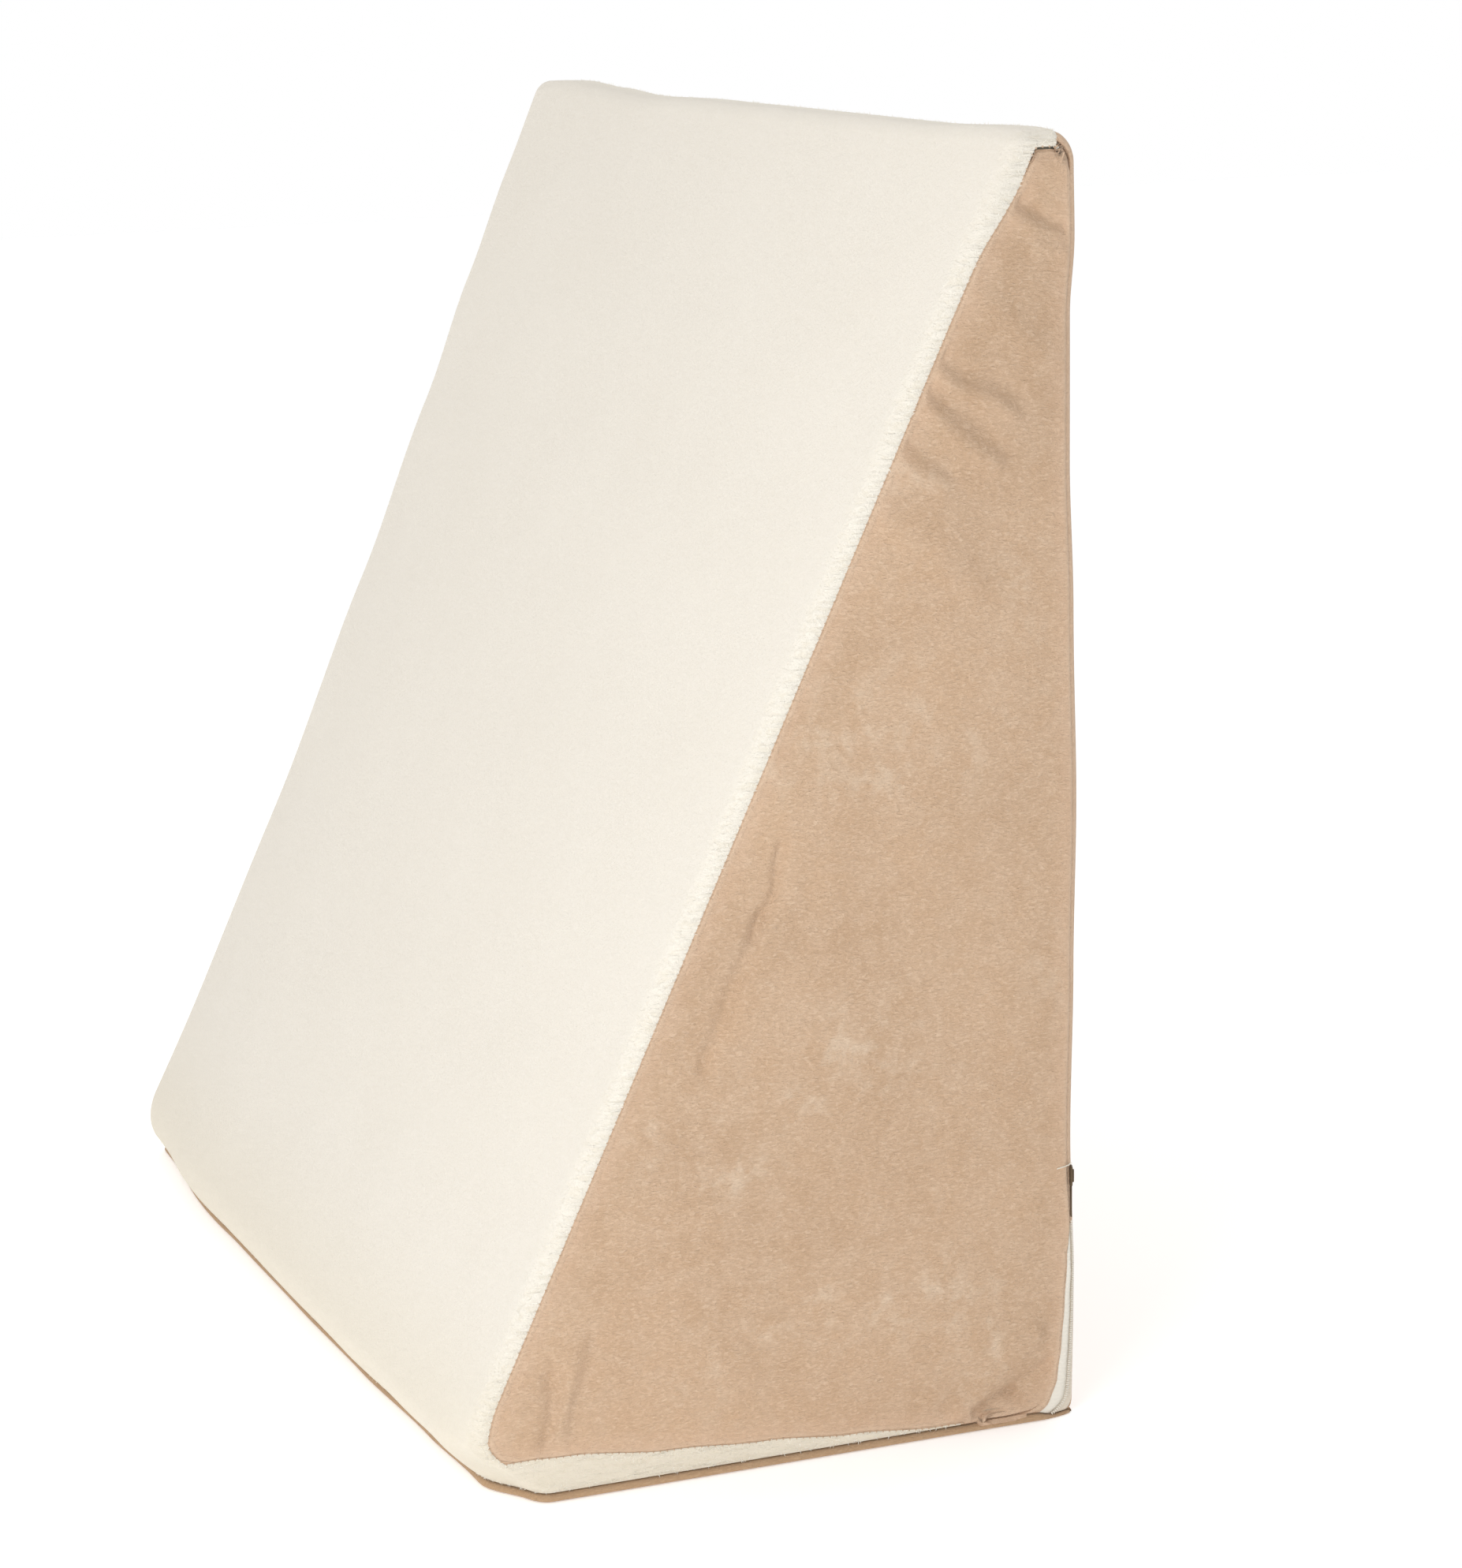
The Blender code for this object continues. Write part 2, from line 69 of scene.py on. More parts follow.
backwards = Vector((sin(CAMERA_TURN) * cos(CAMERA_RISE), -cos(CAMERA_TURN) * cos(CAMERA_RISE),
                    sin(CAMERA_RISE)))
level = Vector((cos(CAMERA_TURN), sin(CAMERA_TURN), 0.0))
sideways = Matrix.Rotation(CAMERA_ROLL, 3, backwards) @ level
upwards = backwards.cross(sideways)
camera_data = bpy.data.cameras.new("camera")
camera_data.sensor_fit = "AUTO"
camera_data.sensor_width = FILM_MM
camera_data.lens = LENS_MM
camera = into_scene("camera", camera_data)
camera_axes = Matrix((sideways, upwards, backwards)).transposed()
camera.matrix_world = (Matrix.Translation(CAMERA_AIM + camera_axes @ CAMERA_OFFSET)
                       @ camera_axes.to_4x4())
bpy.context.scene.camera = camera

# The filled wedge.
# A block of foam cut to a wedge, a little soft at its edges, that fills the cover out. The
# cover's whole sewn outside is worked out here too, because every panel is cut from it.
WIDTH = 0.607
HEIGHT = 0.608
SLOPE = radians(64.05)
TOE_DEPTH = 0.3279
BACK_Y = 0.1547
TOE_R = 0.0260
NOSE_FRONT_R = 0.011
NOSE_BACK_R = 0.015
HEEL_R = 0.009
SIDE_HEEL_R = 0.019
EDGE_R = 0.0075
CLOTH = 0.0024
GAP = 0.0003
RIM = 0.0042
BASE = RIM + GAP
SIDE_CROWN = 0.0024
SLOPE_CROWN = 0.0036
BACK_CROWN = 0.0022
TOE_CORNER = 0.017
TOE_CORNER_UP = 0.055
FAR_DRAWN_IN = 0.0050
DRAWN_OVER = 0.0011
CROWN_FULLNESS = 0.6
CROWN_WIDTH_POWER = 4
FAR_ROLL = (0.45, 1.02)
FAR_DRAWN_FROM = 0.2
TOE_CORNER_FROM = 0.86
BACK_EDGE_FROM = 0.7
TOP_REACH = 0.070
FAR_TWIST = 0.45

TOE_STEPS = 15
SLOPE_STEPS = 150
HEEL_STEPS = 12
NOSE_FRONT_STEPS = 24
NOSE_FLAT_STEPS = 16
NOSE_BACK_STEPS = 48
ACROSS_STEPS = 116
EDGE_STEPS = 9
SIDE_ROWS = TOE_STEPS + SLOPE_STEPS
NOSE_STEPS = NOSE_FRONT_STEPS + NOSE_FLAT_STEPS + NOSE_BACK_STEPS
PROFILE_STEPS = 2 * SIDE_ROWS + NOSE_STEPS
STATIONS = ACROSS_STEPS + 2 * EDGE_STEPS
LIP_ROWS = 9
LIP_COLUMNS = 66
LIP_LEVEL_FROM = 0.955
LIP_BLEND = 3
CREAM_OVER_NOSE = NOSE_FRONT_STEPS + NOSE_FLAT_STEPS + NOSE_BACK_STEPS // 4
CLOSER_BEHIND = 0.3
ZIP_TOP = 0.1040
TAPE_TAPER = 0.020
TAPE_TAPER_REACH = 0.060
SEAM_SLIDE = 0.0070
SEAM_SLIDE_FROM = (0.548, 0.586)
SEWN_RING = EDGE_STEPS // 3
MERGED_UNDER = 0.00002
HEM_SETTLES = 0.06


def rows_of(columns, *lines):
    """A short table: the names of its columns, then a line of numbers for each row."""
    return [dict(zip(columns.split(), line)) for line in lines]


# The side panel's hem above the floor, from the toe's front.
HEM = rows_of("behind up",
    (0.000, 0.0240),
    (0.030, 0.0222),
    (0.080, 0.0165),
    (0.128, 0.0132),
    (0.176, 0.0092),
    (0.222, 0.0056),
    (0.266, 0.0052),
    (0.286, 0.0066),
    (0.302, 0.0092),
)

# Near the heel the hem lifts off the foot and leaves a groove below it.
HEM_GROOVE = 0.0024
HEM_GROOVE_FROM = (0.83, 0.88)
HEM_GROOVE_TO = (0.950, 0.975)

# At the zip's heel the cover comes down towards the floor.
HEEL_DROP = 0.0026
HEEL_DROP_X = (0.286, 0.296)
HEEL_DROP_Y = (0.132, 0.144)
HEEL_DROP_UNDER = 0.016

# How far the toe's underside is tucked back, from the floor up to its fullest point.
TOE_TUCK_UNDER = 0.036
TOE_TUCK = rows_of("x back",
    (-0.305, -0.0016),
    (-0.231, -0.0006),
    (-0.110, 0.0042),
    (0.000, 0.0050),
    (0.100, 0.0068),
    (0.196, 0.0108),
    (0.254, 0.0138),
    (0.280, 0.0136),
    (0.304, 0.0140),
)

# The top line's rise and fall across the width.
TOP_LINE = rows_of("x up",
    (-0.305, 0.0016),
    (-0.262, 0.0026),
    (-0.215, 0.0006),
    (-0.150, -0.0018),
    (-0.070, -0.0006),
    (0.000, -0.0008),
    (0.200, -0.0014),
    (0.285, 0.0006),
    (0.305, 0.0000),
)

# How far the far edge of the slope lies behind the near one.
FAR_EDGE = rows_of("z back",
    (0.000, 0.0231),
    (0.080, 0.0244),
    (0.200, 0.0227),
    (0.330, 0.0169),
    (0.430, 0.0111),
    (0.500, 0.0061),
    (0.560, 0.0029),
    (0.609, 0.0020),
)

# How far the right back edge stands out behind the flat back.
BACK_EDGE = rows_of("z out",
    (0.000, 0.0000),
    (0.060, 0.0010),
    (0.140, -0.0012),
    (0.220, 0.0004),
    (0.300, 0.0018),
    (0.390, 0.0002),
    (0.460, -0.0018),
    (0.525, -0.0018),
    (0.560, 0.0006),
    (0.600, 0.0000),
)

# How far the zip pulls the side panel's edge forward, down towards the heel.
ZIP_PULL_SIDE = (0.965, 1.0)
ZIP_PULL_FELT = (0.001, 0.060)
ZIP_PULL_FORWARD = rows_of("z forward",
    (0.0000, 0.0088),
    (0.0105, 0.0060),
    (0.0220, 0.0036),
    (0.0370, 0.0017),
    (0.0570, 0.0003),
    (0.0800, -0.0014),
    (0.1000, -0.0012),
    (0.1250, 0.0000),
)

# Folds of the side panels, ridges (up > 0) and troughs, each between two ends in the side's plane.
FOLD_CLEAR = 0.005
FOLD_FELT = 0.0002
FOLD_ROOM = 0.004
FOLD_WANDER = 0.0034
FOLD_WANDER_SPAN = 0.022
FOLD_WANDER_ALONG = Vector((4.3, 0.0, 0.0))
FOLD_WANDER_UP = Vector((9.7, 0.0, 0.0))
FOLDS = rows_of("y0 z0 y1 z1 wide up",
    (0.0875, 0.5102, 0.1245, 0.4906, 0.0042, -0.0014),
    (0.0835, 0.5028, 0.1210, 0.4830, 0.0046, 0.0020),
    (0.0810, 0.4967, 0.1150, 0.4680, 0.0042, -0.0016),
    (0.0765, 0.4890, 0.1105, 0.4600, 0.0050, 0.0021),
    (0.0700, 0.4730, 0.0890, 0.4590, 0.0038, -0.0014),
    (0.0655, 0.4646, 0.0850, 0.4510, 0.0046, 0.0014),
    (0.0560, 0.4440, 0.1000, 0.4060, 0.0080, 0.0012),
    (0.1000, 0.5360, 0.1400, 0.5060, 0.0070, 0.0012),
    (0.1225, 0.5785, 0.1470, 0.5650, 0.0036, -0.0026),
    (0.1195, 0.5715, 0.1445, 0.5585, 0.0042, 0.0016),
    (0.1350, 0.5625, 0.1470, 0.5570, 0.0030, -0.0014),
    (0.1330, 0.5565, 0.1460, 0.5515, 0.0034, 0.0010),
    (0.0050, 0.2960, -0.0100, 0.2540, 0.0026, -0.0022),
    (-0.0080, 0.2660, -0.0360, 0.1960, 0.0036, -0.0019),
    (0.0120, 0.2900, -0.0280, 0.1900, 0.0080, 0.0009),
    (0.1300, 0.0440, 0.0900, 0.0090, 0.0060, 0.0034),
    (0.1390, 0.0280, 0.1030, 0.0060, 0.0045, -0.0034),
    (0.1220, 0.0175, 0.1010, 0.0095, 0.0030, -0.0028),
    (0.1160, 0.0135, 0.0980, 0.0060, 0.0030, 0.0022),
    (0.0990, 0.0260, 0.0840, 0.0120, 0.0040, -0.0018),
    (-0.1125, 0.0620, -0.1155, 0.0300, 0.0036, -0.0028),
    (-0.0923, 0.0760, -0.1035, 0.0360, 0.0044, -0.0022),
    (-0.1020, 0.0680, -0.1090, 0.0300, 0.0050, 0.0013),
)

TOE_TIP_Y = BACK_Y - TOE_DEPTH
TOE_Y = TOE_TIP_Y + TOE_R * (1.0 + cos(SLOPE)) / sin(SLOPE)
NOSE_FRONT_Z = HEIGHT - NOSE_FRONT_R
NOSE_FRONT_Y = TOE_TIP_Y + NOSE_FRONT_Z / tan(SLOPE) + NOSE_FRONT_R / sin(SLOPE)
TOE_TURN = pi / 2 + asin((TOE_R - BASE) / TOE_R)
SLEEPING, RIGHT, LEFT, BACK, TAPE_SIDE, TAPE_BACK = range(6)


def table(rows, key, value, at):
    """Read a short table as a smooth line through its rows."""
    if at <= rows[0][key]:
        return rows[0][value]
    for low, high in zip(rows, rows[1:]):
        if at <= high[key]:
            part = (at - low[key]) / (high[key] - low[key])
            part = part * part * (3.0 - 2.0 * part)
            return low[value] + part * (high[value] - low[value])
    return rows[-1][value]


def ramp(at, low, high):
    """Rise smoothly from 0 at low to 1 at high."""
    part = min(1.0, max(0.0, (at - low) / (high - low)))
    return part * part * (3.0 - 2.0 * part)


def hump(at):
    """Rise from 0 to 1 halfway and back to 0, and stay at 0 outside."""
    return max(0.0, sin(pi * min(1.0, max(0.0, at))))


def arc(y, z, radius, start, end, steps):
    """Points of an arc in the profile's plane, both ends included."""
    turns = [start + (end - start) * k / steps for k in range(steps + 1)]
    return [(y + radius * cos(a), z + radius * sin(a)) for a in turns]


def line(start, end, steps):
    """Points between two profile points, the ends left out."""
    parts = [k / steps for k in range(1, steps)]
    return [(start[0] + (end[0] - start[0]) * t, start[1] + (end[1] - start[1]) * t) for t in parts]


def profile(inset):
    """The wedge's outline from the toe's base over the nose to the heel's base, moved inwards."""
    slope_normal = pi / 2 + SLOPE
    toe = arc(TOE_Y + inset / sin(SLOPE), TOE_R, TOE_R, pi / 2 + TOE_TURN, slope_normal, TOE_STEPS)
    front = arc(NOSE_FRONT_Y, NOSE_FRONT_Z, NOSE_FRONT_R - inset, slope_normal, pi / 2,
                NOSE_FRONT_STEPS)
    behind = arc(BACK_Y - NOSE_BACK_R, HEIGHT - NOSE_BACK_R, NOSE_BACK_R - inset, pi / 2, 0.0,
                 NOSE_BACK_STEPS)
    nose = front + line(front[-1], behind[0], NOSE_FLAT_STEPS) + behind
    heel_r = HEEL_R + (SIDE_HEEL_R - HEEL_R) * inset / EDGE_R
    heel_turn = asin((heel_r - BASE) / heel_r)
    heel = arc(BACK_Y - heel_r - inset, heel_r, heel_r, 0.0, -heel_turn, HEEL_STEPS)
    slope = line(toe[-1], nose[0], SLOPE_STEPS)
    back = line(nose[-1], heel[0], SIDE_ROWS - HEEL_STEPS)
    return toe + slope + nose + back + heel


def stations():
    """Where the profile stands across the width, and how far its edge rounding draws it in."""
    flat = WIDTH / 2 - EDGE_R
    turns = [pi / 2 * k / EDGE_STEPS for k in range(1, EDGE_STEPS + 1)]
    right = [(flat + EDGE_R * sin(a), EDGE_R * (1.0 - cos(a))) for a in turns]
    left = [(-x, inset) for x, inset in reversed(right)]
    middle = [(-flat + 2.0 * flat * k / ACROSS_STEPS, 0.0) for k in range(ACROSS_STEPS + 1)]
    return left + middle + right


def fold_height(y, z, room=0.0):
    """How far the side panels' folds stand out of the side's plane, or the room they need."""
    height = 0.0
    spot = Vector((0.0, y, z)) / FOLD_WANDER_SPAN
    y += FOLD_WANDER * noise.noise(spot + FOLD_WANDER_ALONG)
    z += FOLD_WANDER * noise.noise(spot + FOLD_WANDER_UP)
    for fold in FOLDS:
        run_y = fold["y1"] - fold["y0"]
        run_z = fold["z1"] - fold["z0"]
        length = hypot(run_y, run_z)
        along = ((y - fold["y0"]) * run_y + (z - fold["z0"]) * run_z) / length
        off = abs((y - fold["y0"]) * run_z - (z - fold["z0"]) * run_y) / length
        past = max(0.0, -along, along - length)
        up = abs(fold["up"]) if room else fold["up"]
        height += up * exp(-(hypot(off, past) / (fold["wide"] + room)) ** 2)
    return height


def shaped(x, y, z):
    """Give a point of the plain wedge its crown, drawn-in sides, top line and far-edge softness."""
    rise = z / HEIGHT
    side = 2.0 * x / WIDTH
    depth_here = max(2.0 * EDGE_R, TOE_DEPTH - z / tan(SLOPE))
    front = min(1.0, max(0.0, (BACK_Y - y) / depth_here))
    behind = 1.0 - front
    within = 1.0 - side ** CROWN_WIDTH_POWER
    far = FAR_TWIST * (1.0 - side) / 2.0 + (1.0 - FAR_TWIST) * ramp(-side, *FAR_ROLL)
    crown = SLOPE_CROWN * within * hump(rise) ** CROWN_FULLNESS
    corner = TOE_CORNER * ramp(side, TOE_CORNER_FROM, 1.0) * ramp(-z, -TOE_CORNER_UP, 0.0)
    ahead = BACK_Y - y
    zip_pull = table(ZIP_PULL_FORWARD, "z", "forward", z) * ramp(side, *ZIP_PULL_SIDE)
    zip_pull *= ramp(ahead, ZIP_PULL_FELT[0], EDGE_R) * (1.0 - ramp(ahead, EDGE_R, ZIP_PULL_FELT[1]))
    y -= crown * sin(SLOPE) * front
    y += BACK_CROWN * within * hump(rise) * behind
    y += table(FAR_EDGE, "z", "back", z) * far * front
    y += table(BACK_EDGE, "z", "out", z) * ramp(side, BACK_EDGE_FROM, 1.0) * behind
    tuck = table(TOE_TUCK, "x", "back", x) * (1.0 - ramp(z, BASE, TOE_TUCK_UNDER))
    y += (corner + tuck) * front - zip_pull
    x += FAR_DRAWN_IN * ramp(-side, FAR_DRAWN_FROM, 1.0) * hump(rise) - corner * front / 2
    z += table(TOP_LINE, "x", "up", x) * ramp(z, HEIGHT - TOP_REACH, HEIGHT)
    z += crown * cos(SLOPE) * front
    heel = ramp(x, *HEEL_DROP_X) * ramp(y, *HEEL_DROP_Y) * (1.0 - ramp(z, BASE, HEEL_DROP_UNDER))
    return x - DRAWN_OVER, y, z - HEEL_DROP * heel


def side_point(row, column, edge, direction):
    """A point of the grid across one side, from its rounded edge's profile."""
    hem_row = SIDE_ROWS - LIP_ROWS
    inner = 0 < column < NOSE_STEPS
    part = column / NOSE_STEPS
    part += CLOSER_BEHIND * row / SIDE_ROWS * part * (1.0 - part)
    if row == 0:
        y, z = edge[SIDE_ROWS + column]
    else:
        front = edge[SIDE_ROWS - row]
        back = edge[SIDE_ROWS + NOSE_STEPS + row]
        y = front[0] + (back[0] - front[0]) * part
        z = front[1] + (back[1] - front[1]) * part
    if row > 0 and inner:
        low, high = edge[LIP_ROWS], edge[PROFILE_STEPS - LIP_ROWS]
        straight = low[1] + (high[1] - low[1]) * part
        hem = table(HEM, "behind", "up", (high[0] - low[0]) * part)
        hem = hem + (low[1] - HEM[0]["up"]) * (1.0 - ramp(part, 0.0, HEM_SETTLES))
        hem += (high[1] - hem) * ramp(part, LIP_LEVEL_FROM, 1.0)
        if row <= hem_row:
            z += (hem - straight) * (row / hem_row) ** LIP_BLEND
        else:
            z = hem + (BASE - hem) * (row - hem_row) / LIP_ROWS
    bulge = 0.0
    if inner:
        bulge += SIDE_CROWN * 4.0 * part * (1.0 - part) * hump(row / SIDE_ROWS) ** CROWN_FULLNESS
    if inner and hem_row < row < SIDE_ROWS:
        groove = HEM_GROOVE * ramp(part, *HEM_GROOVE_FROM) * (1.0 - ramp(part, *HEM_GROOVE_TO))
        bulge -= groove * hump((row - hem_row) / LIP_ROWS)
    x, y, z = shaped(direction * WIDTH / 2, y, z)
    return x + direction * bulge, y, z


def bent_grid(bm, columns, rows, place, panel, flipped):
    """Bend an even grid to the places that a rule gives, and tag each face with its panel."""
    old_faces = set(bm.faces)
    made = bmesh.ops.create_grid(bm, x_segments=columns, y_segments=rows, size=1.0)
    for order, vertex in enumerate(made["verts"]):
        row, column = divmod(order, columns + 1)
        vertex.co = place(row, column)
    faces = [face for face in bm.faces if face not in old_faces]
    for order, face in enumerate(faces):
        row, column = divmod(order, columns)
        face.material_index = panel(row, column)
    if flipped:
        bmesh.ops.reverse_faces(bm, faces=faces)


def slid(y, z):
    """Slide the side seam back below the nose, where the plush wraps further round the edge."""
    depth_here = max(2.0 * EDGE_R, TOE_DEPTH - z / tan(SLOPE))
    front = min(1.0, max(0.0, (BACK_Y - y) / depth_here))
    return y + SEAM_SLIDE * ramp(z, *SEAM_SLIDE_FROM) * front, z


def build_envelope():
    """The whole sewn outside, open at its foot, with each face tagged by its panel."""
    bm = bmesh.new()
    across = stations()
    outlines = [profile(inset) for x, inset in across]
    zip_top_row = next(i for i in range(SIDE_ROWS + NOSE_STEPS, PROFILE_STEPS)
                       if outlines[0][i][1] < ZIP_TOP)
    for station in (0, STATIONS):
        outlines[station] = [slid(y, z) for y, z in outlines[station]]
    for ring in range(1, SEWN_RING + 1):
        outline = outlines[STATIONS - SEWN_RING + ring]
        for row in range(SIDE_ROWS + NOSE_STEPS, PROFILE_STEPS):
            y, z = outline[row]
            near = 1.0 - ramp(abs(z - ZIP_TOP), 0.0, TAPE_TAPER_REACH)
            outline[row] = (y, z - TAPE_TAPER * near * ring / SEWN_RING)

    def wrap_place(row, column):
        return shaped(across[column][0], *outlines[column][row])

    def wrap_panel(row, column):
        right_ring = (column - (STATIONS - EDGE_STEPS)) // SEWN_RING
        if row < SIDE_ROWS + CREAM_OVER_NOSE:
            return SLEEPING
        if row >= zip_top_row and right_ring == 1:
            return TAPE_BACK
        if row >= zip_top_row and right_ring == 2:
            return TAPE_SIDE
        if right_ring == 2:
            return RIGHT
        if column < SEWN_RING:
            return LEFT
        return BACK

    def side_panel(direction):
        panel = RIGHT if direction > 0 else LEFT

        def tag(row, column):
            in_lip = row >= SIDE_ROWS - LIP_ROWS and column < LIP_COLUMNS
            return SLEEPING if in_lip else panel
        return tag

    bent_grid(bm, STATIONS, PROFILE_STEPS, wrap_place, wrap_panel, False)
    for direction, station in ((1, STATIONS), (-1, 0)):
        def place(row, column, edge=outlines[station], way=direction):
            return side_point(row, column, edge, way)
        bent_grid(bm, NOSE_STEPS, SIDE_ROWS, place, side_panel(direction), direction > 0)
    bmesh.ops.remove_doubles(bm, verts=bm.verts, dist=MERGED_UNDER)
    return bm


# How deep the foam is drawn in under a seam and how far that is felt, more so at the nose, and
# the cover's ripple.
FOAM_DIP = 0.0018
FOAM_DIP_REACH = 0.0024
NOSE_DIP = 0.0022
NOSE_DIP_FROM = (0.588, 0.598)
RIPPLE_UP = 0.00045
RIPPLE_SPAN = 0.060
RIPPLE_CLEAR = 0.02


def dress_envelope(bm):
    """Let the cloth ripple, and store each point's seam distance and way out."""
    bm.normal_update()
    near_seam = bm.verts.layers.float.new("near_seam")
    outward = bm.verts.layers.float_vector.new("outward")
    seam = [vertex for vertex in bm.verts
            if vertex.is_boundary or len({face.material_index for face in vertex.link_faces}) > 1]
    tree = kdtree.KDTree(len(seam))
    for order, vertex in enumerate(seam):
        tree.insert(vertex.co, order)
    tree.balance()
    for vertex in bm.verts:
        vertex[near_seam] = tree.find(vertex.co)[2]
    ways = []
    for vertex in bm.verts:
        away = vertex.normal.copy()
        if vertex.is_boundary:
            away.z = 0.0
            away.normalize()
        ways.append((vertex, away))
    for vertex, away in ways:
        ripple = RIPPLE_UP * noise.noise(vertex.co / RIPPLE_SPAN)
        vertex.co += away * ripple * ramp(vertex[near_seam], 0.0, RIPPLE_CLEAR)
        vertex[outward] = away


def give_object(name, bm, finishes):
    """Make a finished piece of a mesh, with its finishes."""
    for face in bm.faces:
        face.smooth = True
    for edge in bm.edges:
        edge.smooth = not edge.is_boundary
    mesh = bpy.data.meshes.new(name)
    bm.to_mesh(mesh)
    bm.free()
    for finish in finishes:
        mesh.materials.append(finish)
    return into_scene(name, mesh)


# How far apart shader nodes are laid out, and the foam's finish.
NODE_STEP = 180
FOAM_CELLS = 900.0
FOAM_COLOUR = (0.86, 0.82, 0.72)
FOAM_SHADE = (0.80, 0.75, 0.62)
FOAM_ROUGHNESS = 0.95
FOAM_RELIEF = 0.0006

# A side of the foam faces sideways by at least this much, and gives way to the folds.
FACES_SIDEWAYS = 0.7


def add_node(tree, kind, **values):
    """Add a shader node, with its settings and its unlinked sockets."""
    made = tree.nodes.new(kind)
    made.location = (NODE_STEP * len(tree.nodes), 0)
    for key, value in values.items():
        if hasattr(made, key):
            setattr(made, key, value)
        else:
            made.inputs[key.replace("_", " ")].default_value = value
    return made


def new_finish(name):
    """An empty finish with its shader, and the object's own coordinates."""
    made = bpy.data.materials.new(name)
    made.use_nodes = True
    tree = made.node_tree
    shader = tree.nodes["Principled BSDF"]
    place = add_node(tree, "ShaderNodeTexCoord")
    return made, tree, shader, place.outputs["Object"]


def spots(tree, where, scale, detail, rough=0.5, distortion=0.0):
    """A noise of a given scale on the object's own coordinates."""
    made = add_node(tree, "ShaderNodeTexNoise", Scale=scale, Detail=detail, Roughness=rough,
                    Distortion=distortion)
    tree.links.new(where, made.inputs["Vector"])
    return made.outputs["Fac"]


def between(tree, value, low, high, to_low, to_high):
    """Stretch a value from one range to another, smoothly and clamped."""
    made = add_node(tree, "ShaderNodeMapRange", interpolation_type="SMOOTHSTEP")
    for socket, number in zip(("From Min", "From Max", "To Min", "To Max"),
                              (low, high, to_low, to_high)):
        made.inputs[socket].default_value = number
    tree.links.new(value, made.inputs["Value"])
    return made.outputs["Result"]


def product(tree, first, second):
    """Two values multiplied, the second of which may be a number."""
    made = add_node(tree, "ShaderNodeMath", operation="MULTIPLY")
    for socket, value in zip(made.inputs, (first, second)):
        if isinstance(value, (int, float)):
            socket.default_value = value
        else:
            tree.links.new(value, socket)
    return made.outputs["Value"]


def tint(tree, share, first, second, blend="MIX"):
    """Mix two colours, each a colour or a link, by a share that is a number or a link."""
    made = add_node(tree, "ShaderNodeMix", data_type="RGBA", blend_type=blend)
    for socket, value in zip((made.inputs[0], made.inputs[6], made.inputs[7]),
                             (share, first, second)):
        if isinstance(value, (int, float)):
            socket.default_value = value
        elif isinstance(value, tuple):
            socket.default_value = (*value, 1.0)
        else:
            tree.links.new(value, socket)
    return made.outputs[2]


def relief(tree, shader, height, depth, before=None):
    """Raise the surface by a height, on top of an earlier relief."""
    made = add_node(tree, "ShaderNodeBump", Distance=depth)
    tree.links.new(height, made.inputs["Height"])
    if before is not None:
        tree.links.new(before, made.inputs["Normal"])
    tree.links.new(made.outputs["Normal"], shader.inputs["Normal"])
    return made.outputs["Normal"]


def foam_finish():
    """Open foam: a pale, finely pitted surface."""
    made, tree, shader, where = new_finish("filled_core")
    cells = spots(tree, where, FOAM_CELLS, 2.0)
    colour = tint(tree, cells, FOAM_SHADE, FOAM_COLOUR)
    tree.links.new(colour, shader.inputs["Base Color"])
    shader.inputs["Roughness"].default_value = FOAM_ROUGHNESS
    relief(tree, shader, cells, FOAM_RELIEF)
    return made


envelope = build_envelope()
dress_envelope(envelope)

core = envelope.copy()
near_seam = core.verts.layers.float["near_seam"]
outward = core.verts.layers.float_vector["outward"]
for vertex in core.verts:
    dip = FOAM_DIP + NOSE_DIP * ramp(vertex.co.z, *NOSE_DIP_FROM)
    dip *= exp(-(vertex[near_seam] / FOAM_DIP_REACH) ** 2)
    room = 0.0
    if abs(vertex[outward].x) > FACES_SIDEWAYS:
        room = fold_height(vertex.co.y, vertex.co.z, FOLD_ROOM)
    vertex.co -= vertex[outward] * (CLOTH + GAP + dip)
    vertex.co.x -= copysign(room, vertex.co.x)
foot = [edge for edge in core.edges if edge.is_boundary]
bmesh.ops.edgeloop_fill(core, edges=foot)
bmesh.ops.recalc_face_normals(core, faces=core.faces)
for face in core.faces:
    face.material_index = 0
cushion = give_object("filled_wedge", core, [foam_finish()])
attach(cushion, "root")
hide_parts("wedge_cushion")

# The sleeping panel.
# One length of cream short-pile plush from the toe's base up the slope and over the nose, with
# a lip that runs back along each side's foot. It is stretched over the foam and sewn all round.
PLUSH_DIP = 0.0003
PLUSH_DIP_REACH = 0.0013
SEAM_GAP = 0.00004
NOSE_GAP = 0.0012
NOSE_GAP_FROM = (0.591, 0.5965)
PLUSH_DULL = (0.785, 0.726, 0.631)
PLUSH_CLEAN = (0.825, 0.771, 0.681)
PLUSH_NAP = (0.86, 0.815, 0.745)
# A painted highlight, brighter and yellower, where the pile rolls at a seam.
PLUSH_ROLLED_HIGHLIGHT = (0.920, 0.875, 0.775)
# Painted shade among the tufts where the pile rolls at a seam.
PLUSH_TUFT_SHADE = (0.700, 0.610, 0.450)
# Painted shade towards the floor.
PLUSH_LOW_SHADE = (0.760, 0.680, 0.525)
PLUSH_SHEEN = (1.0, 0.97, 0.9)


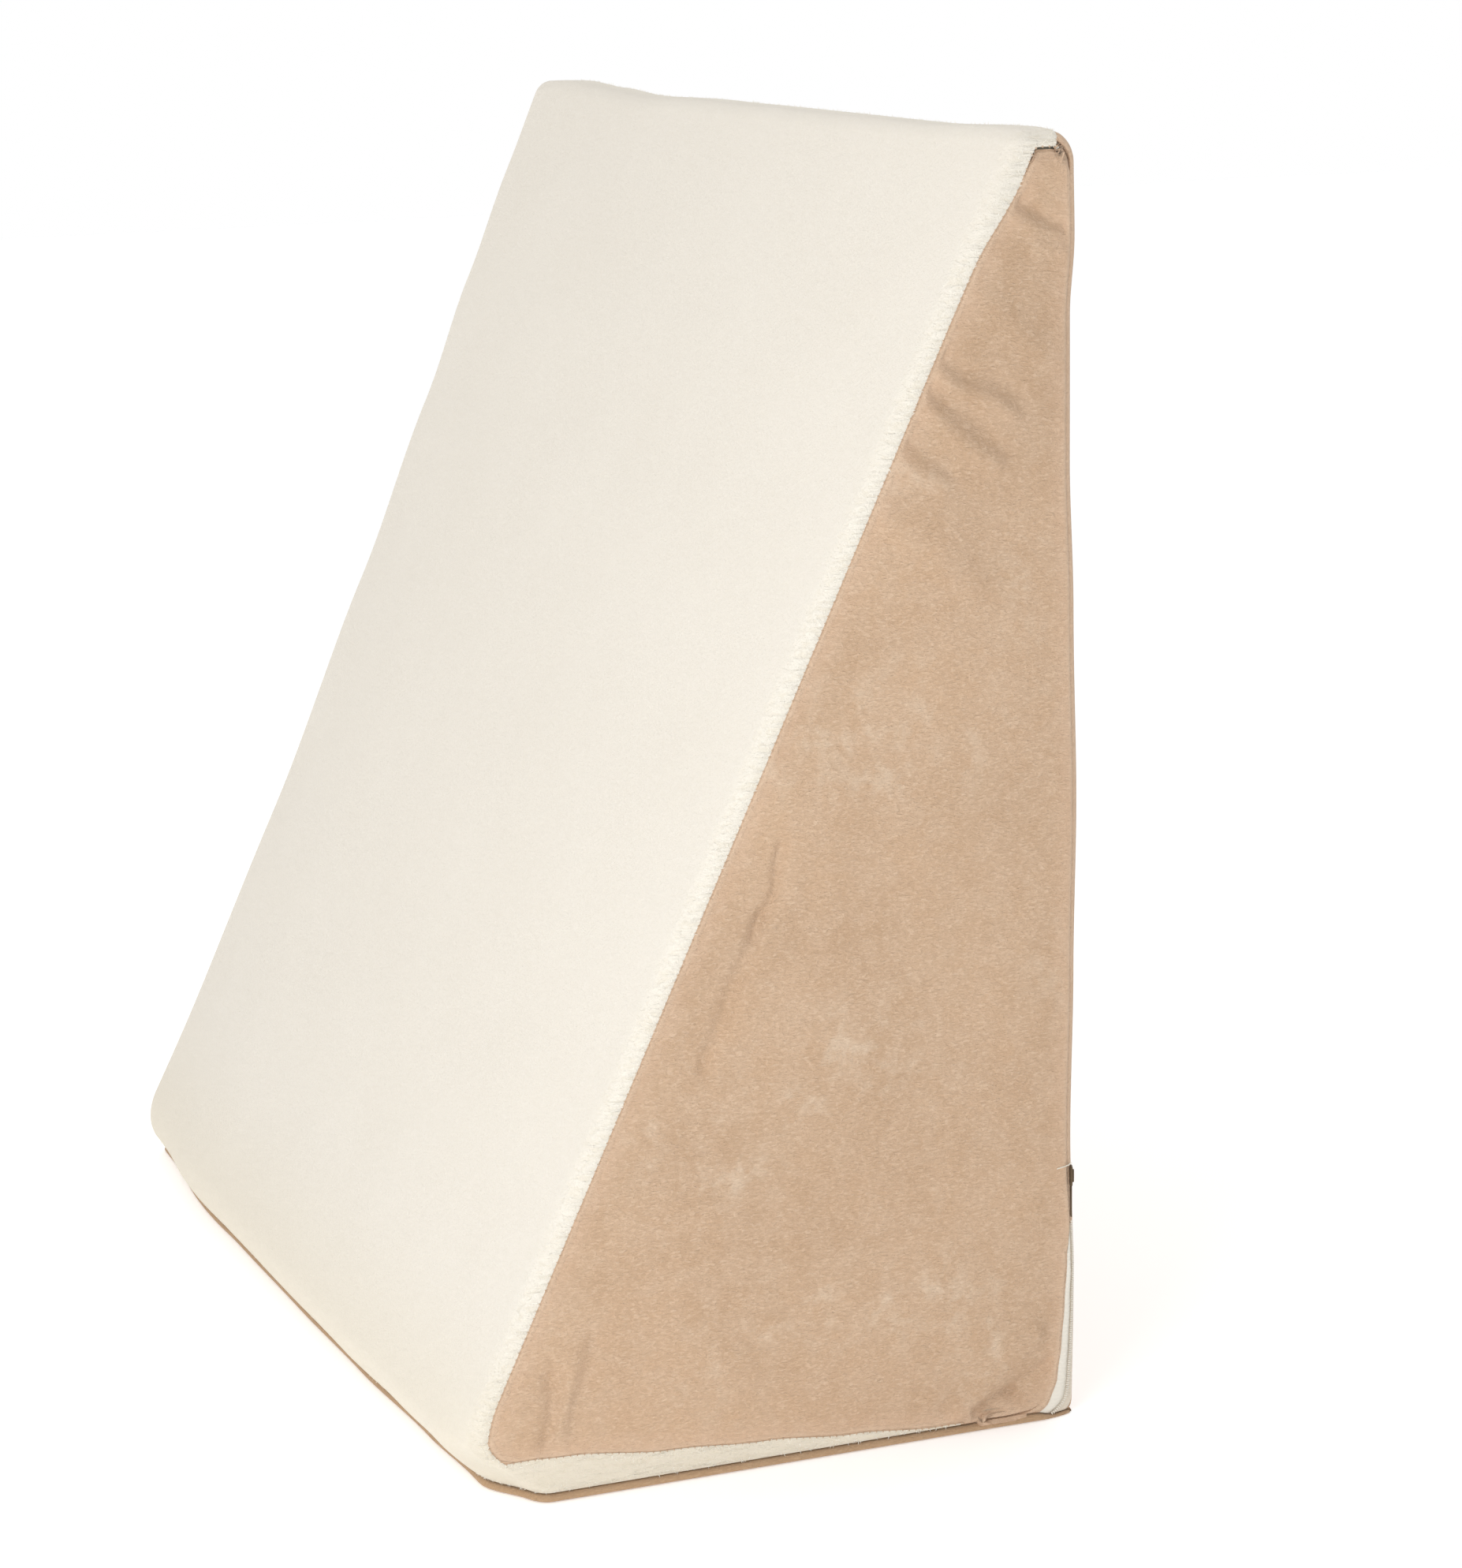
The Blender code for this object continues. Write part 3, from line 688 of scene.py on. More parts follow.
def cut_panel(panel, deep, reach, nose=0.0, nose_gap=0.0):
    """Cut one panel out of the envelope, its edge drawn in at the seams, more so at the nose."""
    bm = envelope.copy()
    near_seam = bm.verts.layers.float["near_seam"]
    outward = bm.verts.layers.float_vector["outward"]
    others = [face for face in bm.faces if face.material_index != panel]
    bmesh.ops.delete(bm, geom=others, context="FACES")
    pulls = {}
    for vertex in bm.verts:
        if not vertex.is_boundary:
            continue
        middle = Vector((0.0, 0.0, 0.0))
        for face in vertex.link_faces:
            middle += face.calc_center_median() / len(vertex.link_faces)
        along = [edge.other_vert(vertex).co - vertex.co for edge in vertex.link_edges
                 if edge.is_boundary]
        run = (along[0] - along[1]).normalized()
        inwards = middle - vertex.co
        inwards -= run * inwards.dot(run)
        apart = SEAM_GAP / 2 + nose_gap * ramp(vertex.co.z, *NOSE_GAP_FROM)
        pulls[vertex] = inwards.normalized() * apart
    for vertex, pull in pulls.items():
        vertex.co += pull
    for vertex in bm.verts:
        drawn = deep + nose * ramp(vertex.co.z, *NOSE_DIP_FROM)
        vertex.co -= vertex[outward] * drawn * exp(-(vertex[near_seam] / reach) ** 2)
    for face in bm.faces:
        face.material_index = 0
    return bm


def thicken(piece, thickness):
    """Give a panel its cloth's thickness, towards the inside."""
    made = piece.modifiers.new("cloth", "SOLIDIFY")
    made.thickness = thickness
    made.offset = -1.0
    made.use_even_offset = False
    made.use_rim = True


def pile_gloss(shader, roughness, sheen, sheen_roughness, sheen_colour, specular):
    """The dull gloss of a short pile, and the sheen along its edge."""
    for socket, value in (("Roughness", roughness), ("Sheen Weight", sheen),
                          ("Sheen Roughness", sheen_roughness),
                          ("Sheen Tint", (*sheen_colour, 1.0)), ("Specular IOR Level", specular)):
        shader.inputs[socket].default_value = value


def plush_finish():
    """Cream plush: a dense short pile, rougher where it rolls at a seam, with a yellowish painted
    highlight there, painted shade among its tufts there, and painted shade towards the floor.
    """
    made, tree, shader, where = new_finish("cream_plush")
    near = add_node(tree, "ShaderNodeAttribute", attribute_name="near_seam")
    rolled = between(tree, near.outputs["Fac"], 0.002, 0.016, 1.0, 0.0)
    cloud = spots(tree, where, 14.0, 3.0)
    nap = spots(tree, where, 520.0, 3.0, 0.7)
    hairs = spots(tree, where, 1700.0, 2.0, 0.7)
    combed = add_node(tree, "ShaderNodeMapping", vector_type="POINT")
    combed.inputs["Rotation"].default_value = (radians(20), 0.0, 0.0)
    combed.inputs["Scale"].default_value = (0.6, 0.20, 1.0)
    tree.links.new(where, combed.inputs["Vector"])
    tufts = spots(tree, combed.outputs["Vector"], 420.0, 3.0, 0.6, 1.0)
    base = tint(tree, cloud, PLUSH_DULL, PLUSH_CLEAN)
    base = tint(tree, between(tree, nap, 0.3, 0.7, 0.0, 0.35), base, PLUSH_NAP)
    # Painted highlight: the pile is painted brighter and yellower where it rolls over at a seam.
    base = tint(tree, product(tree, rolled, 0.55), base, PLUSH_ROLLED_HIGHLIGHT)
    # Painted shade: the pile is painted darker in the hollows between its tufts where it rolls at a
    # seam, over their raised curls.
    painted_shade = product(tree, between(tree, tufts, 0.35, 0.55, 0.25, 0.0), rolled)
    base = tint(tree, painted_shade, base, PLUSH_TUFT_SHADE)
    height = add_node(tree, "ShaderNodeSeparateXYZ")
    tree.links.new(where, height.inputs["Vector"])
    # Painted shade: the pile is painted darker and yellower towards the floor.
    low = between(tree, height.outputs["Z"], 0.004, 0.100, 0.50, 0.0)
    base = tint(tree, low, base, PLUSH_LOW_SHADE)
    tree.links.new(base, shader.inputs["Base Color"])
    pile_gloss(shader, 0.95, 0.35, 0.5, PLUSH_SHEEN, 0.15)
    curls = relief(tree, shader, product(tree, tufts, rolled), 0.0012)
    pile = relief(tree, shader, nap, 0.0006, curls)
    relief(tree, shader, hairs, 0.0003, pile)
    return made


plush = plush_finish()
sleeping = give_object("sleeping_panel_plush", cut_panel(SLEEPING, PLUSH_DIP, PLUSH_DIP_REACH),
                       [plush])
thicken(sleeping, CLOTH)
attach(sleeping, "root")
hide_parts("sleeping_panel")

# The side panels.
# Two triangles of tan velour, sewn to the plush up the slope and to the back panel behind. Their
# hem runs along the top of the cream lip, and loose cloth gathers in folds at nose, toe and heel.
VELOUR_DIP = 0.0005
VELOUR_DIP_REACH = 0.0016
VELOUR_DEEP = (0.598, 0.409, 0.267)
VELOUR_FULL = (0.680, 0.470, 0.310)
VELOUR_STROKED = (0.697, 0.508, 0.358)
# Painted shade and painted highlight of the nap's strokes.
NAP_PAINTED_SHADE = (0.370, 0.236, 0.146)
NAP_HIGHLIGHT = (0.800, 0.632, 0.478)
# A painted highlight where the pile rolls at a seam.
VELOUR_ROLLED_HIGHLIGHT = (0.760, 0.535, 0.382)
# A painted sheen where the nap is crushed.
CRUSHED_SHEEN = (0.850, 0.720, 0.570)
CRUSHED_FADE = 0.7
# A painted highlight on the roll beside each seam.
EDGE_HIGHLIGHT = (0.830, 0.670, 0.510)
VELOUR_SHEEN = (1.0, 0.86, 0.72)
UNSHADED = (1.0, 1.0, 1.0)

# Places where the nap has been crushed and catches the light, in the side's plane.
CRUSHED = rows_of("y z along up share",
    (0.047, 0.347, 0.040, 0.022, 1.0),
    (0.058, 0.328, 0.028, 0.016, 0.9),
    (0.008, 0.336, 0.024, 0.020, 0.9),
    (0.098, 0.334, 0.022, 0.018, 0.6),
    (0.126, 0.394, 0.014, 0.028, 0.7),
    (0.145, 0.356, 0.008, 0.012, 0.7),
    (0.070, 0.458, 0.016, 0.012, 0.7),
    (0.005, 0.175, 0.016, 0.014, 0.9),
    (0.045, 0.196, 0.032, 0.022, 1.0),
    (-0.034, 0.147, 0.030, 0.016, 1.0),
    (-0.033, 0.184, 0.016, 0.014, 0.7),
    (-0.064, 0.175, 0.014, 0.014, 0.6),
    (0.008, 0.077, 0.030, 0.016, 0.9),
    (0.072, 0.070, 0.036, 0.018, 1.0),
    (-0.097, 0.093, 0.012, 0.012, 0.9),
    (0.103, 0.046, 0.015, 0.028, 1.0),
    (-0.040, 0.050, 0.016, 0.020, 0.6),
    (0.140, 0.220, 0.012, 0.020, 0.5),
)


def gather(bm, direction):
    """Refine the cloth where it gathers, and raise its folds there."""
    felt = []
    for edge in bm.edges:
        middle = (edge.verts[0].co + edge.verts[1].co) / 2
        if fold_height(middle.y, middle.z, FOLD_ROOM / 4) > FOLD_FELT:
            felt.append(edge)
    bmesh.ops.subdivide_edges(bm, edges=felt, cuts=1, use_grid_fill=True)
    near_seam = bm.verts.layers.float["near_seam"]
    for vertex in bm.verts:
        up = fold_height(vertex.co.y, vertex.co.z) * ramp(vertex[near_seam], 0.0, FOLD_CLEAR)
        vertex.co.x += direction * up


def mark_crushed(bm):
    """Store how crushed the nap is around each of the listed places."""
    crushed = bm.verts.layers.float.new("crushed")
    for vertex in bm.verts:
        share = 0.0
        for patch in CRUSHED:
            off = hypot((vertex.co.y - patch["y"]) / patch["along"],
                        (vertex.co.z - patch["z"]) / patch["up"])
            share = max(share, patch["share"] * exp(-off * off * CRUSHED_FADE))
        vertex[crushed] = share


def velour_finish(name, painted_shade):
    """Tan velour: a clipped pile that clouds where it is stroked and shines where crushed, a painted
    sheen; painted shade and highlight in its nap, painted highlights by its seams, and the given
    painted shade over all.
    """
    made, tree, shader, where = new_finish(name)
    near = add_node(tree, "ShaderNodeAttribute", attribute_name="near_seam")
    marks = add_node(tree, "ShaderNodeAttribute", attribute_name="crushed")
    rolled = between(tree, near.outputs["Fac"], 0.001, 0.014, 1.0, 0.0)
    cloud = spots(tree, where, 9.0, 4.0, 0.55, 0.4)
    stroke = spots(tree, where, 70.0, 3.0, 0.6, 0.6)
    combed = add_node(tree, "ShaderNodeMapping", vector_type="POINT")
    combed.inputs["Rotation"].default_value = (radians(-18), 0.0, 0.0)
    combed.inputs["Scale"].default_value = (1.0, 0.42, 1.0)
    tree.links.new(where, combed.inputs["Vector"])
    strands = combed.outputs["Vector"]
    nap = spots(tree, strands, 900.0, 3.0, 0.65, 0.5)
    hairs = spots(tree, strands, 1900.0, 2.0, 0.7)
    base = tint(tree, between(tree, cloud, 0.3, 0.7, 0.0, 1.0), VELOUR_DEEP, VELOUR_FULL)
    base = tint(tree, between(tree, stroke, 0.30, 0.70, 0.0, 0.60), base, VELOUR_STROKED)
    # Painted shade and highlight: the nap's strokes are painted darker in their hollows and lighter
    # on their tops, over their relief.
    base = tint(tree, between(tree, nap, 0.35, 0.65, 0.22, 0.0), base, NAP_PAINTED_SHADE)
    base = tint(tree, between(tree, nap, 0.50, 0.72, 0.0, 0.35), base, NAP_HIGHLIGHT)
    # Painted highlight: the pile is painted lighter where it rolls round towards a seam.
    base = tint(tree, product(tree, rolled, 0.35), base, VELOUR_ROLLED_HIGHLIGHT)
    # Painted sheen: the crushed places are painted lighter, in torn patches.
    torn = spots(tree, where, 110.0, 4.0, 0.65, 0.3)
    patch = spots(tree, where, 52.0, 2.0, 0.5, 0.2)
    crushed = product(tree, between(tree, torn, 0.38, 0.68, 0.0, 1.0),
                      between(tree, patch, 0.42, 0.60, 0.15, 1.0))
    crushed = product(tree, crushed, marks.outputs["Fac"])
    base = tint(tree, product(tree, crushed, 0.42), base, CRUSHED_SHEEN)
    # Painted highlight: a narrow ridge just beside each seam is painted lighter, over its raised
    # roll.
    rise = between(tree, near.outputs["Fac"], 0.0, 0.0014, 0.0, 1.0)
    fall = between(tree, near.outputs["Fac"], 0.0014, 0.0042, 1.0, 0.0)
    edge = product(tree, rise, fall)
    base = tint(tree, product(tree, edge, 0.20), base, EDGE_HIGHLIGHT)
    # Painted shade: the whole colour is darkened by the given shade, which is white for the side and
    # back panels.
    base = tint(tree, 1.0, base, painted_shade, "MULTIPLY")
    tree.links.new(base, shader.inputs["Base Color"])
    pile_gloss(shader, 0.85, 0.30, 0.35, VELOUR_SHEEN, 0.2)
    roll = relief(tree, shader, edge, 0.0004)
    pile = relief(tree, shader, nap, 0.0008, roll)
    relief(tree, shader, hairs, 0.0004, pile)
    return made


velour = velour_finish("tan_velour", UNSHADED)
for side_name, panel, direction in (("right", RIGHT, 1), ("left", LEFT, -1)):
    bm = cut_panel(panel, VELOUR_DIP, VELOUR_DIP_REACH, NOSE_DIP, NOSE_GAP)
    gather(bm, direction)
    mark_crushed(bm)
    side = give_object("side_panel_" + side_name + "_velour", bm, [velour])
    thicken(side, CLOTH)
    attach(side, "root")
    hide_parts("side_panel_" + side_name)

back = give_object("back_panel_velour", cut_panel(BACK, VELOUR_DIP, VELOUR_DIP_REACH), [velour])
thicken(back, CLOTH)
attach(back, "root")
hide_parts("back_panel")

# The end panel.
# The velour panel that the wedge stands on, with its edge rolled up in a rim all round where
# it is sewn to the cream lip, the side panels and the back.
RIM_RINGS = rows_of("z out",
    (RIM, -0.0044),
    (RIM * 0.94, -0.0024),
    (RIM * 0.82, -0.0008),
    (RIM * 0.62, 0.0007),
    (RIM * 0.40, 0.0012),
    (RIM * 0.20, 0.0009),
    (RIM * 0.06, -0.0003),
    (0.0, -0.0014),
)
# Painted shade: the end panel's velour is painted darker and more olive all over, for its rim in the
# shade under the lip.
END_PAINTED_SHADE = (0.78, 0.74, 0.65)

end = envelope.copy()
foot = [edge for edge in end.edges if edge.is_boundary]
others = [vertex for vertex in end.verts if not vertex.is_boundary]
bmesh.ops.delete(end, geom=others, context="VERTS")
foot_edges = set(foot)
across = [edge for edge in end.edges if edge not in foot_edges]
bmesh.ops.delete(end, geom=across, context="EDGES")
loop = foot
top = foot
before = {"z": RIM, "out": 0.0}
for vertex in {vertex for edge in foot for vertex in edge.verts}:
    vertex.co.z -= GAP
for ring in RIM_RINGS:
    if ring is not RIM_RINGS[0]:
        made = bmesh.ops.extrude_edge_only(end, edges=loop)
        loop = [item for item in made["geom"] if isinstance(item, bmesh.types.BMEdge)]
    loop_edges = set(loop)
    outward = {}
    for vertex in {vertex for edge in loop for vertex in edge.verts}:
        ends = [edge.other_vert(vertex).co for edge in vertex.link_edges if edge in loop_edges]
        run = (ends[1] - ends[0]).normalized()
        way = Vector((run.y, -run.x, 0.0))
        outward[vertex] = way if way.dot(vertex.co) > 0.0 else -way
    for vertex, way in outward.items():
        vertex.co += way * (ring["out"] - before["out"])
        vertex.co.z *= ring["z"] / before["z"]
    before = ring
bmesh.ops.edgeloop_fill(end, edges=top)
bmesh.ops.edgeloop_fill(end, edges=loop)
bmesh.ops.recalc_face_normals(end, faces=end.faces)
for face in end.faces:
    face.material_index = 0
# The end panel's velour, a copy of the tan velour with painted shade.
end_velour_painted_shade = velour_finish("end_velour_painted_shade", END_PAINTED_SHADE)
end_panel = give_object("end_panel_velour", end, [end_velour_painted_shade])
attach(end_panel, "root")
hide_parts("end_panel")

# The zip's tapes.
# Two narrow woven tapes that close the cover at the lower right back edge, one sewn to the
# side panel and one to the back panel. They run down the edge and round the heel.
TAPE_THICK = 0.0012
TAPE_DIP = 0.0008
TAPE_DIP_REACH = 0.0012
SIDE_TAPE_AREA = 0.00060
BACK_TAPE_AREA = 0.00049
SIDE_TAPE = ((0.77, 0.73, 0.64), (0.84, 0.80, 0.715))
# The back tape is the same white tape, painted darker and warmer: painted shade where it turns back
# round the edge.
BACK_TAPE_PAINTED_SHADE = ((0.68, 0.60, 0.49), (0.74, 0.66, 0.55))


def tape_finish(name, dull, clean):
    """White woven tape: fine ribs across a plain polyester weave."""
    made, tree, shader, where = new_finish(name)
    ribs = add_node(tree, "ShaderNodeTexWave", wave_type="BANDS", bands_direction="Z",
                    Scale=160.0, Distortion=0.4, Detail=1.0)
    tree.links.new(where, ribs.inputs["Vector"])
    soil = spots(tree, where, 60.0, 3.0)
    colour = tint(tree, soil, dull, clean)
    tree.links.new(colour, shader.inputs["Base Color"])
    shader.inputs["Roughness"].default_value = 0.75
    shader.inputs["Sheen Weight"].default_value = 0.15
    relief(tree, shader, ribs.outputs["Fac"], 0.0002)
    return made


# The back tape's colours carry painted shade.
for half, panel, shown, dull, clean in (("side", TAPE_SIDE, SIDE_TAPE_AREA, *SIDE_TAPE),
                                        ("back", TAPE_BACK, BACK_TAPE_AREA, *BACK_TAPE_PAINTED_SHADE)):
    strip = give_object("zip_tape_" + half + "_woven", cut_panel(panel, TAPE_DIP, TAPE_DIP_REACH),
                        [tape_finish("zip_tape_" + half, dull, clean)])
    thicken(strip, TAPE_THICK)
    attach(strip, "root")
    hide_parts("zip_tape_" + half)

# The zip's coil.
# A closed coil of stiff nylon turns, woven into both tapes along the line where they meet. Each
# turn shows as a short smooth bar across the line.
COIL_TURN_APART = 0.0011
COIL_TURN = (0.0010, 0.00042, 0.00050)
COIL_OUT = 0.0004
COIL_COLOUR = (0.78, 0.735, 0.65)
BEAD_SIDES = 8
BEAD_RINGS = 5
SPECKLE_SHADE = 0.90


def seam_line(bm, first, second):
    """The points where two panels meet, in order, each with the way out of the cloth."""
    links = {}
    for edge in bm.edges:
        if {face.material_index for face in edge.link_faces} == {first, second}:
            for vertex in edge.verts:
                links.setdefault(vertex, []).append(edge.other_vert(vertex))
    ends = [vertex for vertex, others in links.items() if len(others) == 1]
    here = max(ends, key=lambda vertex: vertex.co.z)
    outward = bm.verts.layers.float_vector["outward"]
    route = []
    before = None
    while here is not None:
        route.append((here.co.copy(), here[outward].copy()))
        onward = [other for other in links[here] if other is not before]
        before, here = here, onward[0] if onward else None
    return route


def evenly(route, apart):
    """Places an even distance apart along a seam line: point, way out and way along."""
    places = []
    left = 0.0
    for (start, out), (end, next_out) in zip(route, route[1:]):
        step = end - start
        while left <= step.length:
            share = left / step.length
            places.append((start + step * share, out.lerp(next_out, share).normalized(),
                           step.normalized()))
            left += apart
        left -= step.length
    return places


def add_part(bm, part):
    """Add a separate part's shape to a piece, and let the part go."""
    mesh = bpy.data.meshes.new("part")
    part.to_mesh(mesh)
    part.free()
    bm.from_mesh(mesh)
    bpy.data.meshes.remove(mesh)


def row_of_beads(places, size):
    """Small smooth beads, each long across its way and lying on the cloth."""
    bead = bmesh.new()
    bmesh.ops.create_uvsphere(bead, u_segments=BEAD_SIDES, v_segments=BEAD_RINGS, radius=1.0,
                              matrix=Matrix.Diagonal((*size, 1.0)))
    bm = bmesh.new()
    for centre, across, out in places:
        onward = out.cross(across).normalized()
        turned = Matrix((across, onward, out)).transposed().to_4x4()
        one = bead.copy()
        one.transform(Matrix.Translation(centre) @ turned)
        add_part(bm, one)
    bead.free()
    return bm


def plain_finish(name, colour, roughness, metallic=0.0):
    """A finish with fine speckle and a soft grain, for small trim."""
    made, tree, shader, where = new_finish(name)
    speckle = spots(tree, where, 700.0, 3.0)
    darker = tuple(channel * SPECKLE_SHADE for channel in colour)
    tree.links.new(tint(tree, speckle, darker, colour), shader.inputs["Base Color"])
    shader.inputs["Roughness"].default_value = roughness
    shader.inputs["Metallic"].default_value = metallic
    relief(tree, shader, speckle, 0.0001)
    return made


zip_route = seam_line(envelope, TAPE_SIDE, TAPE_BACK)
turns = [(place + out * COIL_OUT, out.cross(along), out)
         for place, out, along in evenly(zip_route, COIL_TURN_APART)]
coil = give_object("zip_coil_turns", row_of_beads(turns, COIL_TURN),
                   [plain_finish("zip_coil", COIL_COLOUR, 0.4)])
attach(coil, "root")
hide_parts("zip_coil")

# The zip's slider and pull.
# A cast metal slider in dark bronze over the top of the coil, and a long narrow pull, grooved
# along both faces, that hangs from its bridge.
SLIDER_SIZE = (0.0046, 0.0013, 0.0098)
SLIDER_TAPER = 0.72
SLIDER_SUNK = 0.0006
SLIDER_TURN = radians(34)
SLIDER_ROUND = 0.0016
BRIDGE_SIZE = (0.0016, 0.0012, 0.0062)
PULL_SIZE = (0.0023, 0.0007, 0.0150)
PULL_SUNK = 0.0021
PULL_SLOT = 0.0014
PULL_SLOT_DEEP = 0.22
METAL_ROUNDING = 0.0005
BRONZE = (0.130, 0.094, 0.058)


def box_at(bm, size, centre, taper=1.0):
    """A rounded block, narrower at its foot by the taper."""
    made = bmesh.ops.create_cube(bm, size=1.0)
    for vertex in made["verts"]:
        narrow = taper if vertex.co.z < 0.0 else 1.0
        vertex.co = Vector((vertex.co.x * size[0] * narrow, vertex.co.y * size[1],
                            vertex.co.z * size[2])) + Vector(centre)
    return made["verts"]


def round_edges(bm, width):
    """Round every edge of the small casting."""
    bmesh.ops.bevel(bm, geom=bm.edges, offset=width, segments=3, profile=0.5, affect="EDGES",
                    material=-1)


def middle_of(node):
    """The middle of a CAD node's box."""
    low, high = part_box(node)
    return (low + high) / 2


bronze = plain_finish("dark_bronze", BRONZE, 0.42, 1.0)
back_route = seam_line(envelope, RIGHT, BACK)
slider_out = next(out for place, out in back_route if place.z < middle_of("zip_slider").z)
facing = atan2(slider_out.y, slider_out.x) - pi / 2 + SLIDER_TURN
round_edge = Vector((-slider_out.y, slider_out.x, 0.0)).normalized() * SLIDER_ROUND
turned = Matrix.Rotation(facing, 4, "Z")

slider = bmesh.new()
box_at(slider, SLIDER_SIZE, (0.0, 0.0, 0.0), SLIDER_TAPER)
round_edges(slider, METAL_ROUNDING)
bridge = bmesh.new()
box_at(bridge, BRIDGE_SIZE, (0.0, SLIDER_SIZE[1] / 2 + BRIDGE_SIZE[1] / 2 - METAL_ROUNDING, 0.0))
round_edges(bridge, METAL_ROUNDING / 2)
add_part(slider, bridge)
slider_at = middle_of("zip_slider") - slider_out * SLIDER_SUNK + round_edge
slider.transform(Matrix.Translation(slider_at) @ turned)
slider = give_object("zip_slider_casting", slider, [bronze])
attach(slider, "root")
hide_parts("zip_slider")

pull = bmesh.new()
box_at(pull, PULL_SIZE, (0.0, 0.0, 0.0))
faces = [face for face in pull.faces if abs(face.normal.y) > 0.5]
bmesh.ops.inset_individual(pull, faces=faces, thickness=(PULL_SIZE[0] - PULL_SLOT) / 2,
                           depth=-PULL_SIZE[1] * PULL_SLOT_DEEP)
round_edges(pull, METAL_ROUNDING / 4)
pull_at = middle_of("zip_pull") - slider_out * PULL_SUNK + round_edge
pull.transform(Matrix.Translation(pull_at) @ turned)
pull = give_object("zip_pull_plate", pull, [bronze])
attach(pull, "root")
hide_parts("zip_pull")

# The sewing.
# Lock stitches in thread that matches the velour, pulled down into the seams round the side
# panels, and a bar of lighter stitches across the edge at the head of the zip.
STITCH_APART = 0.0034
STITCH = (0.00060, 0.00030, 0.00028)
STITCH_DEEP = 0.0002
BAR_UP = 0.1262
BAR_LONG = 0.0065
BAR_STITCHES = 7
BAR_STITCH = (0.0009, 0.0003, 0.0003)
BAR_OUT = 0.0002
BAR_BEHIND_EDGE = 0.0034
BAR_SAG = 0.0016
BAR_ACROSS = Vector((0.0, 0.94, 0.34))
THREAD_COLOUR = (0.62, 0.45, 0.31)
BAR_COLOUR = (0.80, 0.76, 0.66)

stitches = [(place - out * STITCH_DEEP, out.cross(along), out)
            for panel in (RIGHT, LEFT)
            for place, out, along in evenly(seam_line(envelope, SLEEPING, panel), STITCH_APART)]
thread = give_object("seam_stitches", row_of_beads(stitches, STITCH),
                     [plain_finish("thread", THREAD_COLOUR, 0.8)])
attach(thread, "root")

bar_places = []
for order in range(BAR_STITCHES):
    back_from = BAR_LONG * order / (BAR_STITCHES - 1)
    place = Vector((WIDTH / 2 - DRAWN_OVER + BAR_OUT,
                    BACK_Y - EDGE_R + BAR_BEHIND_EDGE - back_from,
                    BAR_UP - BAR_SAG * (back_from / BAR_LONG) ** 0.5))
    bar_places.append((place, BAR_ACROSS, Vector((1.0, 0.0, 0.0))))
bar = give_object("bar_tack", row_of_beads(bar_places, BAR_STITCH),
                  [plain_finish("bar_thread", BAR_COLOUR, 0.7)])
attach(bar, "root")

# The plush's fluff.
# Loose fibre ends that stand out of the cream pile where it rolls into its seams, and soften
# its edge against the velour.
FLUFF_REACH = 0.0030
FLUFF_PER_M2 = 300000.0
FLUFF_LONG = 0.0016
FLUFF_WIDE = 0.00020
FLUFF_TILT = radians(75)
FLUFF_GROWN = (0.55, 1.15)
FLUFF_SEED = 3
FLUFF_COLOUR = (1.0, 0.97, 0.89)


